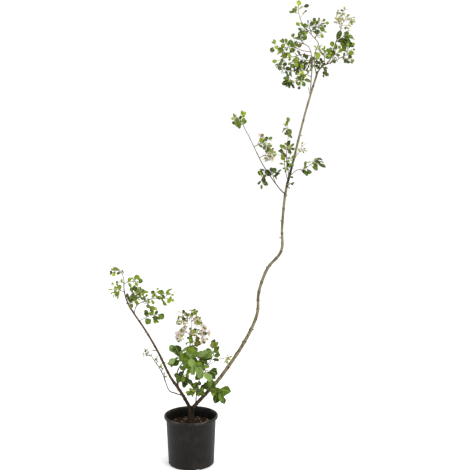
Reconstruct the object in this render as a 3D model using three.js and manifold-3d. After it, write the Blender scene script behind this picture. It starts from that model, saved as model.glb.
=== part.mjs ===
// A petite crape myrtle in a round nursery pot: a twin stem that forks just above the potting mix,
// one very long crooked stem to the right, a short stem to the left, and open sprays of small leaves.
// Millimetres, +Z up. The origin is the middle of the pot's flat underside; the plant faces -Y.

import * as THREE from "three";
import { mergeVertices } from "three/addons/utils/BufferGeometryUtils.js";
import Module from "manifold-3d";

const wasm = await Module();
wasm.setup();

// Driving dimensions

const GAP = 0.3; // between neighbouring pieces

const POT = {
  height: 152.4,
  rimRadius: 82.5,
  neckRadius: 76.4,
  baseRadius: 69.8,
  wall: 2.2,
  floor: 3,
  lipHeight: 8,
  lipRound: 1.6,
  sides: 32,
  notchWidth: 12,
  notchHeight: 5,
  notchDepth: 7,
  notchCount: 4,
  notchTurn: 20, // degrees from the front, towards +X
};

const SOIL_LEVEL = 122;

const TRUNK = {
  sides: 8,
  steps: 5,
  flare: 3, // extra radius at the foot
  flareHeight: 7,
  strands: [
    { points: [[-3.4, 0, 116], [-3.6, -0.5, 148], [-4, -1, 178]], foot: 5.5, top: 5.2 },
    { points: [[2.6, 0.5, 116], [3.8, 1, 148], [7.5, 1, 178]], foot: 4.9, top: 5.2 },
  ],
};

// Each limb runs through a few points and tapers from one radius to the other.
// A limb with parts is one bough that is split where it bends, at those shares of its way.
const LIMBS = [
  {
    name: "long_stem",
    points: [
      [7, 1, 176], [37, 8, 207], [91, 20, 266], [159, 32, 365], [201, 33, 456],
      [207, 26, 530], [232, 13, 605], [273, 6, 661], [275, 2, 735], [284, -4, 837],
      [304, -6, 923], [339, -2, 1068], [375, 6, 1190],
    ],
    radii: [5.2, 2.4],
    parts: [
      ["long_stem_lower", 0, 0.335],
      ["long_stem_middle", 0.335, 0.575],
      ["long_stem_upper", 0.575, 1],
    ],
    steps: 30,
  },
  {
    name: "left_stem",
    points: [
      [-4, -1, 177], [-30, -8, 227], [-62, -20, 281], [-96, -32, 360],
      [-131, -45, 429], [-175, -56, 503], [-190, -60, 548], [-191, -60, 590],
    ],
    radii: [5, 1.1],
    steps: 15,
  },
  {
    name: "left_arch",
    points: [[-140, -47, 443], [-153, -56, 465], [-161, -62, 489], [-152, -66, 512], [-126, -70, 528]],
    radii: [1.6, 1.1],
    steps: 7,
  },
  {
    name: "thin_stem",
    points: [[-22, -6, 214], [-49, 6, 219], [-69, 16, 227], [-90, 34, 275], [-120, 52, 317]],
    radii: [2, 1.3],
    steps: 8,
  },
  {
    name: "flower_stem",
    points: [[-36, -10, 240], [-42, -22, 276], [-35, -34, 308], [-16, -46, 339], [0, -54, 371]],
    radii: [2.2, 1.5],
    steps: 8,
  },
  {
    name: "low_right_stem",
    points: [[15, 2, 186], [18, -10, 228], [28, -22, 273], [45, -30, 309], [63, -34, 335]],
    radii: [1.9, 1.2],
    steps: 8,
  },
  {
    name: "mid_left_bough",
    points: [[283, -6, 832], [259, -18, 859], [216, -32, 922], [180, -44, 995], [162, -50, 1029]],
    radii: [2.3, 1.3],
    steps: 7,
  },
  {
    name: "crown_left_bough",
    points: [[355, 2, 1126], [356, 8, 1160], [360, 20, 1213], [356, 26, 1246], [349, 28, 1262]],
    radii: [1.8, 1.3],
    steps: 7,
  },
  {
    name: "crown_middle_bough",
    points: [
      [371, 6, 1184], [364, -4, 1214], [367, -12, 1248],
      [374, -16, 1269], [358, -20, 1288], [345, -22, 1302],
    ],
    radii: [1.8, 1.2],
    steps: 10,
  },
  {
    name: "crown_right_bough",
    points: [[374, 6, 1187], [388, -2, 1205], [406, -14, 1213], [424, -26, 1219]],
    radii: [1.8, 1.3],
    steps: 6,
  },
  {
    name: "crown_upper_right_bough",
    points: [[398, -8, 1209], [415, 6, 1232], [424, 14, 1263], [431, 18, 1283]],
    radii: [1.6, 1.2],
    steps: 6,
  },
];

// What a mass of foliage has unless its own record says otherwise. Lengths are in millimetres.
const USUAL_HABIT = {
  leaf: 21, // longest leaf
  gap: 20, // between leaf pairs
  bare: 0.25, // share of the stem with no leaves
  shoots: 2, // side shoots
  shoot: 30, // their length
  arch: 4, // how far the stem bows upwards
  lone: false, // leaves one by one, not in pairs
  wide: 0.74, // leaf width to length
  hang: 0.12, // how much the leaves droop
  whorl: false, // pairs crossed at right angles
  buds: 0,
  blooms: 0,
  tries: 5, // for each leaf and shoot
};

// Each mass grows from one stem: the limb that it leaves, at a share of the limb's way, and the stem's tip.
const MASSES = [
  // Crown at the top of the long stem
  {
    name: "tip_spray", on: "crown_middle_bough", at: 1, tip: [315, -16, 1376],
    leaf: 22, gap: 41, bare: 0.5, shoots: 3, shoot: 17, arch: -5, lone: true, buds: 2,
  },
  {
    name: "upper_left_tuft", on: "crown_middle_bough", at: 0.86, tip: [341, -46, 1322],
    gap: 17, bare: 0.15, shoot: 22,
  },
  {
    name: "bud_tuft", on: "crown_middle_bough", at: 0.73, tip: [386, -2, 1333],
    leaf: 18, gap: 29, bare: 0.2, shoots: 3, shoot: 22, lone: true, buds: 3,
  },
  {
    name: "right_panicle", on: "crown_upper_right_bough", at: 1, tip: [459, 22, 1348],
    leaf: 12, gap: 60, bare: 0.5, shoots: 7, shoot: 28, lone: true, buds: 6, blooms: 1,
  },
  {
    name: "upper_right_tuft", on: "crown_upper_right_bough", at: 0.7, tip: [444, -22, 1282],
    leaf: 34, gap: 17, bare: 0.1, shoots: 2, shoot: 26, arch: 6, wide: 0.5, hang: 0.5,
  },
  {
    name: "right_tuft", on: "crown_right_bough", at: 1, tip: [470, -26, 1239],
    leaf: 20, bare: 0.2, shoot: 28, buds: 2,
  },
  {
    name: "right_inner_tuft", on: "crown_right_bough", at: 0.76, tip: [431, 14, 1243],
    leaf: 22, gap: 16, shoot: 24,
  },
  {
    name: "middle_tuft", on: "crown_right_bough", at: 0.47, tip: [388, -46, 1249],
    leaf: 24, gap: 17, shoot: 24,
  },
  {
    name: "hanging_tuft", on: "crown_right_bough", at: 0.3, tip: [391, -32, 1199],
    leaf: 19, gap: 17, bare: 0.3, shoots: 1, shoot: 20, arch: 1,
  },
  {
    name: "left_upper_tuft", on: "crown_left_bough", at: 0.99, tip: [305, 40, 1275],
    leaf: 20, bare: 0.2, shoots: 3, shoot: 24,
  },
  {
    name: "far_left_tuft", on: "crown_left_bough", at: 0.75, tip: [257, 10, 1257],
    gap: 20, bare: 0.35, shoots: 4, arch: 8,
  },
  {
    name: "left_middle_tuft", on: "crown_left_bough", at: 0.64, tip: [254, -16, 1219],
    gap: 20, bare: 0.35, shoots: 3, shoot: 28, arch: 9,
  },
  {
    name: "inner_left_tuft", on: "crown_left_bough", at: 0.5, tip: [315, 52, 1224],
    leaf: 22, gap: 20, bare: 0.2, shoots: 3, shoot: 26,
  },
  {
    name: "left_low_tuft", on: "crown_left_bough", at: 0.4, tip: [281, 20, 1186],
    leaf: 20, gap: 20, bare: 0.3, shoots: 3,
  },
  {
    name: "lowest_tuft", on: "crown_left_bough", at: 0.26, tip: [299, -22, 1160],
    leaf: 22, gap: 20, bare: 0.3, shoots: 3, shoot: 28,
  },
  {
    name: "back_tuft", on: "crown_middle_bough", at: 0.2, tip: [348, 70, 1215],
    leaf: 20, bare: 0.3, shoot: 28,
  },
  // Middle of the long stem
  {
    name: "mid_tip_tuft", on: "mid_left_bough", at: 1, tip: [139, -66, 1061],
    leaf: 20, bare: 0.05, shoots: 3, shoot: 24,
  },
  {
    name: "mid_blossom_upper", on: "mid_left_bough", at: 0.67, tip: [227, -60, 987],
    leaf: 19, gap: 20, bare: 0.2, shoots: 3, shoot: 25, buds: 2, blooms: 1,
  },
  {
    name: "mid_blossom_lower", on: "mid_left_bough", at: 0.57, tip: [237, -30, 947],
    leaf: 16, gap: 29, bare: 0.3, shoots: 4, shoot: 24, buds: 2, blooms: 3,
  },
  {
    name: "mid_low_left_tuft", on: "mid_left_bough", at: 0.41, tip: [210, -46, 876],
    leaf: 28, gap: 16, bare: 0.15, shoots: 1, shoot: 26, tries: 9,
  },
  {
    name: "mid_low_tuft", on: "mid_left_bough", at: 0.28, tip: [238, 6, 903],
    leaf: 25, gap: 19, shoot: 24,
  },
  {
    name: "mid_upright_twig", on: "long_stem", at: 0.8, tip: [289, 24, 1049],
    leaf: 22, gap: 39, bare: 0.36, shoot: 18, arch: -5, buds: 1,
  },
  {
    name: "mid_inner_tuft", on: "long_stem", at: 0.785, tip: [268, -30, 973],
    gap: 24, bare: 0.4, shoots: 3, shoot: 24, buds: 2, blooms: 1,
  },
  {
    name: "mid_right_tuft", on: "long_stem", at: 0.8, tip: [385, -56, 927],
    leaf: 28, gap: 30, bare: 0.35, shoots: 1, shoot: 24, arch: 9, wide: 0.5, hang: 0.5,
  },
  {
    name: "mid_bud_twig", on: "long_stem", at: 0.83, tip: [337, -22, 970],
    leaf: 12, gap: 40, bare: 0.6, shoot: 22, lone: true, buds: 3,
  },
  // Crown of the left stem
  {
    name: "left_tip_tuft", on: "left_stem", at: 1, tip: [-208, -70, 618],
    leaf: 17, gap: 22, bare: 0.1, shoots: 1, shoot: 22, lone: true,
  },
  {
    name: "left_top_tuft", on: "left_stem", at: 0.94, tip: [-157, -50, 579],
    leaf: 18, gap: 22, bare: 0.2, shoots: 1, shoot: 16,
  },
  {
    name: "left_outer_tuft", on: "left_stem", at: 0.86, tip: [-228, -36, 551],
    leaf: 19, gap: 20, bare: 0.2, shoot: 24,
  },
  {
    name: "left_inner_tuft", on: "left_stem", at: 0.78, tip: [-141, -25, 549],
    leaf: 20, gap: 20, bare: 0.3, shoots: 3, shoot: 28, arch: 6,
  },
  {
    name: "left_front_tuft", on: "left_arch", at: 0.72, tip: [-166, -98, 540],
    leaf: 20, gap: 17, bare: 0.2, shoot: 26,
  },
  {
    name: "left_arch_end", on: "left_arch", at: 1, tip: [-52, -80, 534],
    gap: 22, bare: 0.1, shoots: 3, hang: 0.3,
  },
  {
    name: "left_low_twig", on: "left_arch", at: 0.2, tip: [-94, -34, 476],
    leaf: 26, gap: 17, bare: 0.35, shoot: 26, arch: 5, wide: 0.8,
  },
  {
    name: "thin_twig_leaves", on: "thin_stem", at: 1, tip: [-143, 62, 336],
    leaf: 9, gap: 13, bare: 0.1, shoot: 20, arch: 1,
  },
  // Foot of the plant
  {
    name: "base_panicle", on: "flower_stem", at: 1, tip: [6, -44, 477],
    leaf: 16, gap: 70, bare: 0.12, shoots: 10, shoot: 42, lone: true, buds: 5, blooms: 6,
  },
  {
    name: "base_whorl", on: "flower_stem", at: 0.94, tip: [-8, -74, 396],
    leaf: 44, gap: 9, bare: 0, shoots: 0, arch: 1, wide: 0.72, hang: 0.7, whorl: true, tries: 16,
  },
  {
    name: "base_left_leaves", on: "flower_stem", at: 0.69, tip: [-37, -70, 361],
    leaf: 40, gap: 12, bare: 0.2, shoots: 0, arch: 2, wide: 0.72, hang: 0.6, tries: 16,
  },
  {
    name: "base_right_leaves", on: "flower_stem", at: 0.82, tip: [39, -40, 343],
    leaf: 42, gap: 15, bare: 0.1, shoots: 1, arch: 5, wide: 0.66, hang: 0.6, tries: 12,
  },
  {
    name: "base_low_leaves", on: "flower_stem", at: 0.07, tip: [-12, -50, 297],
    leaf: 26, gap: 18, bare: 0.3, shoots: 1, shoot: 26,
  },
  {
    name: "right_shoot_leaves", on: "low_right_stem", at: 1, tip: [68, -42, 372],
    leaf: 32, gap: 16, bare: 0, shoots: 1, shoot: 24,
  },
  {
    name: "right_shoot_low_leaves", on: "low_right_stem", at: 0.55, tip: [57, -50, 309],
    leaf: 40, gap: 18, bare: 0.2, shoots: 0, wide: 0.68, hang: 0.4, tries: 12,
  },
  {
    name: "right_bud_twig", on: "low_right_stem", at: 0.8, tip: [123, -14, 342],
    leaf: 11, gap: 60, bare: 0.6, shoots: 3, shoot: 18, lone: true, buds: 3,
  },
  {
    name: "right_low_twig", on: "long_stem", at: 0.09, tip: [89, -16, 239],
    leaf: 40, gap: 24, bare: 0.3, shoots: 1, shoot: 22, arch: 6, tries: 9,
  },
  {
    name: "base_front_leaves", on: "low_right_stem", at: 0.17, tip: [12, -50, 250],
    leaf: 27, gap: 18, bare: 0.25, shoot: 26,
  },
];

const LIMB_SIDES = 5;
const TWIG = {
  sides: 3,
  stemSteps: 4,
  shootSteps: 1,
  foot: 1.5,
  tip: 0.9,
  shootFoot: 0.75,
  shootTip: 0.65,
  waver: 0.04, // share of the twig's length
};
const LEAF = {
  thickness: 0.9,
  outline: 4, // corners of the edge
  high: 0.1, // how far beyond its middle a leaf is widest, as a share of its length
  start: 0.26, // from the twig's middle line
};
const BUD = { radius: 2.4, near: 3, far: 6, widest: 0.62 };
const BLOOM = { radius: 11, petals: 6, notch: 0.62, cup: 2.5, thickness: 2 };
const CLEAR = 0.9; // kept between the middle surfaces of leaves, and between a leaf and a twig's bark
const TOWARDS_LIGHT = new THREE.Vector3(0, -0.75, 0.66).normalize();
const FRONT = new THREE.Vector3(0, -1, 0);
const UP = new THREE.Vector3(0, 0, 1);
const RIGHT = new THREE.Vector3(1, 0, 0);

const COLOURS = {
  pot: [0x2d2c2b, 0.62],
  soil: [0x4a3527, 0.95],
  bark: [0x8a7458, 0.85],
  leaf: [0x5f8f3a, 0.6],
};

// Vectors and chance

const vector = (point) => new THREE.Vector3(...point);
const mix = (a, b, share) => a + (b - a) * share;
const stepAlong = (from, way, distance) => from.clone().addScaledVector(way, distance);
const crossed = (a, b) => new THREE.Vector3().crossVectors(a, b);
const squareTo = (way, axis) => way.clone().addScaledVector(axis, -way.dot(axis));

// A repeatable stream of chances from a whole number.
class Chance {
  constructor(seed) {
    this.state = seed >>> 0;
  }

  next() {
    this.state = (this.state + 0x6d2b79f5) >>> 0;
    let t = this.state;
    t = Math.imul(t ^ (t >>> 15), t | 1);
    t ^= t + Math.imul(t ^ (t >>> 7), t | 61);
    return ((t ^ (t >>> 14)) >>> 0) / 4294967296;
  }

  between(low, high) {
    return low + (high - low) * this.next();
  }
}

// Solids

function solid(geometry) {
  const bare = geometry.clone();
  bare.deleteAttribute("normal");
  bare.deleteAttribute("uv");
  const merged = mergeVertices(bare, 1e-4);
  return new wasm.Manifold(
    new wasm.Mesh({
      numProp: 3,
      vertProperties: new Float32Array(merged.attributes.position.array),
      triVerts: new Uint32Array(merged.index.array),
    }),
  );
}

function meshOf(name, body, [color, roughness]) {
  const { vertProperties, triVerts } = body.getMesh();
  const geometry = new THREE.BufferGeometry();
  geometry.setAttribute("position", new THREE.BufferAttribute(vertProperties, 3));
  geometry.setIndex(new THREE.BufferAttribute(triVerts, 1));
  geometry.computeVertexNormals();
  const mesh = new THREE.Mesh(geometry, new THREE.MeshStandardMaterial({ color, roughness, metalness: 0 }));
  mesh.name = name;
  return mesh;
}

// The largest body of a solid: crumbs that a cut leaves and hollows that a join seals are dropped.
function largestBody(body) {
  return body.decompose().reduce((best, next) => (next.volume() > best.volume() ? next : best));
}

// A closed tapering tube: its middle line and radius are functions of the share of its way.
function tube(middleAt, radiusAt, sides, steps) {
  const points = Array.from({ length: steps + 1 }, (_, i) => middleAt(i / steps));
  const frames = framesAlong(points);
  const geometry = new THREE.CylinderGeometry(1, 1, 1, sides, steps);
  const position = geometry.attributes.position;
  for (let i = 0; i < position.count; i += 1) {
    const share = position.getY(i) + 0.5;
    const step = Math.round(share * steps);
    const radius = radiusAt(share);
    const place = stepAlong(points[step], frames[step].side, radius * position.getX(i));
    place.addScaledVector(frames[step].lift, radius * position.getZ(i));
    position.setXYZ(i, place.x, place.y, place.z);
  }
  return solid(geometry);
}

// A pair of directions square to the line at each point, carried along it without twist.
function framesAlong(points) {
  const frames = [];
  let side = null;
  points.forEach((_, i) => {
    const ahead = points[Math.min(i + 1, points.length - 1)];
    const behind = points[Math.max(i - 1, 0)];
    const way = ahead.clone().sub(behind).normalize();
    side = squareTo(side ?? crossed(way, Math.abs(way.z) < 0.9 ? UP : FRONT), way).normalize();
    frames.push({ side, lift: crossed(side, way) });
  });
  return frames;
}

// Pot and potting mix

const LIP_FOOT = POT.height - POT.lipHeight;

const wallRadius = (height) => mix(POT.baseRadius, POT.neckRadius, height / LIP_FOOT);

// Points of a turned form, from pairs of a radius and a height.
const turned = (pairs) => pairs.map(([radius, height]) => new THREE.Vector2(radius, height));

function potProfile() {
  const { height, rimRadius, baseRadius, wall, floor, lipRound } = POT;
  return turned([
    [0, 0],
    [baseRadius, 0],
    [wallRadius(LIP_FOOT), LIP_FOOT],
    [rimRadius - lipRound, LIP_FOOT],
    [rimRadius, LIP_FOOT + lipRound],
    [rimRadius, height - lipRound],
    [rimRadius - lipRound, height],
    [rimRadius - 2.5 * lipRound, height],
    [wallRadius(LIP_FOOT) - wall, LIP_FOOT],
    [wallRadius(floor) - wall, floor],
    [0, floor],
  ]);
}

function potNotch(turn) {
  const { baseRadius, notchWidth, notchHeight, notchDepth } = POT;
  const notch = new THREE.BoxGeometry(notchWidth, 2 * notchDepth, 2 * notchHeight);
  notch.translate(0, -baseRadius, 0);
  notch.rotateZ(turn);
  return solid(notch);
}

function standingLathe(profile) {
  const lathe = new THREE.LatheGeometry(profile, POT.sides);
  lathe.rotateX(Math.PI / 2);
  return solid(lathe);
}

function makePot() {
  let body = standingLathe(potProfile());
  for (let i = 0; i < POT.notchCount; i += 1) {
    const turn = THREE.MathUtils.degToRad(POT.notchTurn + (360 * i) / POT.notchCount);
    body = body.subtract(potNotch(turn));
  }
  return meshOf("pot", body, COLOURS.pot);
}

function makePottingMix() {
  const foot = POT.floor + GAP;
  const inset = POT.wall + GAP;
  const profile = turned([
    [0, foot],
    [wallRadius(foot) - inset, foot],
    [wallRadius(SOIL_LEVEL) - inset, SOIL_LEVEL],
    [0, SOIL_LEVEL],
  ]);
  return meshOf("potting_mix", standingLathe(profile), COLOURS.soil);
}

// Trunk and limbs

function curveThrough(points) {
  return new THREE.CatmullRomCurve3(points.map(vector), false, "catmullrom", 0.5);
}

// One of the trunk's two strands, thickened by a margin all round and lengthened by it at the top.
function strandOf({ points, foot, top }, margin) {
  const line = curveThrough(points);
  const radiusAt = (share) => {
    const above = Math.max(line.getPoint(share).z - SOIL_LEVEL, 0);
    return mix(foot, top, share) + TRUNK.flare * Math.exp(-above / TRUNK.flareHeight) + margin;
  };
  const middleAt = (share) => stepAlong(line.getPoint(share), UP, share * margin);
  return tube(middleAt, radiusAt, TRUNK.sides, TRUNK.steps);
}

function makeTrunk(margin) {
  const belowGround = new THREE.BoxGeometry(100, 100, 100);
  belowGround.translate(0, 0, SOIL_LEVEL + GAP - 50);
  const [left, right] = TRUNK.strands.map((strand) => strandOf(strand, margin));
  return left.add(right).subtract(solid(belowGround));
}

class Limb {
  constructor({ name, points, radii, steps, parts }) {
    this.name = name;
    this.curve = curveThrough(points);
    this.radii = radii;
    this.steps = steps;
    this.parts = parts ?? [[name, 0, 1]];
    this.span = this.curve.getLength();
  }

  at(share) {
    return this.curve.getPoint(share);
  }

  radius(share) {
    return mix(this.radii[0], this.radii[1], share);
  }

  // The stretch from one share of the limb's way to another, thickened by a margin all round.
  stretch(from, to, margin) {
    const before = from - margin / this.span;
    const after = to + margin / this.span;
    const steps = Math.max(Math.round(this.steps * (to - from)), 1);
    return tube(
      (share) => this.beyond(mix(before, after, share)),
      (share) => this.radius(mix(before, after, share)) + margin,
      LIMB_SIDES,
      steps,
    );
  }

  // A point on the limb's middle line, which goes straight on past its ends.
  beyond(share) {
    const inside = Math.min(Math.max(share, 0), 1);
    return stepAlong(this.at(inside), this.curve.getTangent(inside), (share - inside) * this.span);
  }

  bones() {
    return Array.from({ length: this.steps }, (_, i) => {
      const [from, to] = [i / this.steps, (i + 1) / this.steps];
      return new Bone(this.at(from), this.at(to), this.radius(from), this.name);
    });
  }
}

// Growth. What has its place is kept as bones, which are straight lengths of twig, and blades, the leaves.

class Bone {
  constructor(from, to, radius, owner) {
    Object.assign(this, { from, to, radius, owner });
    this.middle = from.clone().add(to).multiplyScalar(0.5);
    this.reach = from.distanceTo(to) / 2 + radius + CLEAR;
  }
}

class Blade {
  constructor(root, axis, normal, length, width, droop, fold, owner) {
    Object.assign(this, { root, axis, normal, length, width, droop, fold, owner });
    this.side = crossed(normal, axis);
    this.middle = this.at(0.5, 0);
    this.reach = 0.62 * length + CLEAR;
    this.net = this.netLines();
  }

  // Half the leaf's width at a share of its length.
  half(share) {
    if (share <= 0 || share >= 1) return 0;
    return 0.5 * this.width * Math.sin(Math.PI * share ** 0.92) ** 0.62;
  }

  // A point of the leaf's middle surface: how far along it, and how far from the rib to the edge.
  at(share, across) {
    const half = this.half(share);
    const lift = Math.abs(across) * half * this.fold - this.droop * this.length * share * share;
    return stepAlong(this.root, this.axis, share * this.length)
      .addScaledVector(this.side, across * half)
      .addScaledVector(this.normal, lift);
  }

  // The leaf's edge, its rib and one line across, as pairs of points.
  netLines() {
    const shares = [0.28, 0.5, 0.72];
    const left = shares.map((share) => this.at(share, 1));
    const right = shares.map((share) => this.at(share, -1));
    const root = this.at(0.12, 0);
    const tip = this.at(1, 0);
    const ring = [root, ...left, tip, ...right.toReversed(), root];
    const lines = ring.slice(1).map((point, i) => [ring[i], point]);
    return [...lines, [root, this.middle], [this.middle, tip], [left[1], right[1]]];
  }

  // Where a point lies as the leaf sees it: share of its length, distance aside, height above it.
  place(point) {
    const away = point.clone().sub(this.root);
    const share = away.dot(this.axis) / this.length;
    const aside = away.dot(this.side);
    const sag = this.droop * this.length * share * share;
    return [share, aside, away.dot(this.normal) + sag - Math.abs(aside) * this.fold];
  }

  // Whether a straight line comes within a margin of the leaf.
  meets(from, to, margin) {
    const a = this.place(from);
    const b = this.place(to);
    if ((a[2] > margin && b[2] > margin) || (a[2] < -margin && b[2] < -margin)) return false;
    const tests = [a, b, a.map((value, i) => (value + b[i]) / 2)];
    if (Math.abs(a[2] - b[2]) > 1e-9) {
      const share = a[2] / (a[2] - b[2]);
      if (share >= 0 && share <= 1) tests.push([mix(a[0], b[0], share), mix(a[1], b[1], share), 0]);
    }
    return tests.some(([share, aside, height]) => {
      if (Math.abs(height) > margin || share <= -0.04 || share >= 1.04) return false;
      return Math.abs(aside) <= this.half(Math.min(Math.max(share, 0.04), 0.96)) + margin;
    });
  }
}

const limited = (value) => Math.min(Math.max(value, 0), 1);

// The distance between two straight lines of limited length.
function gapBetween(from, to, otherFrom, otherTo) {
  const way = to.clone().sub(from);
  const otherWay = otherTo.clone().sub(otherFrom);
  const apart = from.clone().sub(otherFrom);
  const a = way.dot(way);
  const b = way.dot(otherWay);
  const c = way.dot(apart);
  const e = otherWay.dot(otherWay);
  const f = otherWay.dot(apart);
  const spread = a * e - b * b;
  let share = spread > 1e-9 ? limited((b * f - c * e) / spread) : 0;
  let otherShare = (b * share + f) / e;
  if (otherShare < 0) {
    otherShare = 0;
    share = limited(-c / a);
  } else if (otherShare > 1) {
    otherShare = 1;
    share = limited((b - c) / a);
  }
  return stepAlong(from, way, share).distanceTo(stepAlong(otherFrom, otherWay, otherShare));
}

class Space {
  bones = [];
  blades = [];

  near(kind, thing, own) {
    return this[kind].filter((other) => {
      const reach = thing.reach + other.reach;
      return other.owner !== own && thing.middle.distanceToSquared(other.middle) < reach * reach;
    });
  }

  boneIsClear(bone) {
    const { from, to, radius, owner } = bone;
    const meetsBone = (other) =>
      gapBetween(from, to, other.from, other.to) < radius + other.radius + CLEAR;
    if (this.near("bones", bone, owner).some(meetsBone)) return false;
    return !this.near("blades", bone, owner).some((blade) => blade.meets(from, to, radius + CLEAR));
  }

  bladeIsClear(blade) {
    for (const { from, to, radius } of this.near("bones", blade, blade.owner)) {
      const margin = radius + CLEAR;
      if (blade.meets(from, to, margin)) return false;
      if (blade.net.some(([a, b]) => gapBetween(a, b, from, to) < margin)) return false;
    }
    for (const other of this.near("blades", blade, null)) {
      if (blade.net.some(([a, b]) => other.meets(a, b, CLEAR))) return false;
      if (other.net.some(([a, b]) => blade.meets(a, b, CLEAR))) return false;
    }
    return true;
  }
}

class Twig {
  constructor(points, foot, tip, owner) {
    Object.assign(this, { points, foot, tip, owner });
    this.steps = points.length - 1;
    this.span = points.slice(1).reduce((sum, point, i) => sum + point.distanceTo(points[i]), 0);
  }

  at(share) {
    const along = limited(share) * this.steps;
    const step = Math.min(Math.floor(along), this.steps - 1);
    return this.points[step].clone().lerp(this.points[step + 1], along - step);
  }

  heading(share) {
    const step = Math.min(Math.floor(limited(share) * this.steps), this.steps - 1);
    return this.points[step + 1].clone().sub(this.points[step]).normalize();
  }

  bones() {
    return this.points.slice(1).map((point, i) => {
      const radius = mix(this.foot, this.tip, i / this.steps);
      return new Bone(this.points[i], point, radius, this.owner);
    });
  }

  solid() {
    const radiusAt = (share) => mix(this.foot, this.tip, share);
    return tube((share) => this.points[Math.round(share * this.steps)], radiusAt, TWIG.sides, this.steps);
  }
}

// A wavering line from root to tip, bowed upwards by arch at its middle.
function archedLine(root, tip, arch, chance, steps) {
  const reach = tip.clone().sub(root);
  const waver = TWIG.waver * reach.length();
  const way = reach.clone().normalize();
  const straightUp = squareTo(UP, way);
  const bow = (straightUp.length() < 0.3 ? squareTo(RIGHT, way) : straightUp).normalize();
  return Array.from({ length: steps + 1 }, (_, i) => {
    const share = i / steps;
    const point = stepAlong(root, reach, share).addScaledVector(bow, 4 * arch * share * (1 - share));
    if (i === 0 || i === steps) return point;
    const aside = [0, 1, 2].map(() => chance.between(-waver, waver));
    return point.add(vector(aside));
  });
}

// Two directions square to a twig: to its side as seen from the front, and towards the front.
function around(heading) {
  const across = crossed(heading, FRONT);
  const side = (across.length() < 0.2 ? crossed(heading, vector([1, 0, 0.2])) : across).normalize();
  return [side, crossed(side, heading)];
}

// A direction that leaves a twig at an angle, turned about the twig by a roll.
function leaving(heading, hand, angle, roll) {
  const [side, lift] = around(heading);
  const out = side.multiplyScalar(hand * Math.cos(roll)).addScaledVector(lift, Math.sin(roll));
  return heading.clone().multiplyScalar(Math.cos(angle)).addScaledVector(out, Math.sin(angle)).normalize();
}

// The way a leaf on this axis faces: towards the light, but tilted about its axis.
function litSide(axis, tilt) {
  const towards = squareTo(TOWARDS_LIGHT, axis);
  const face = (towards.length() < 0.15 ? squareTo(RIGHT, axis) : towards).normalize();
  const aside = crossed(axis, face);
  return face.multiplyScalar(Math.cos(tilt)).addScaledVector(aside, Math.sin(tilt)).normalize();
}

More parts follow.
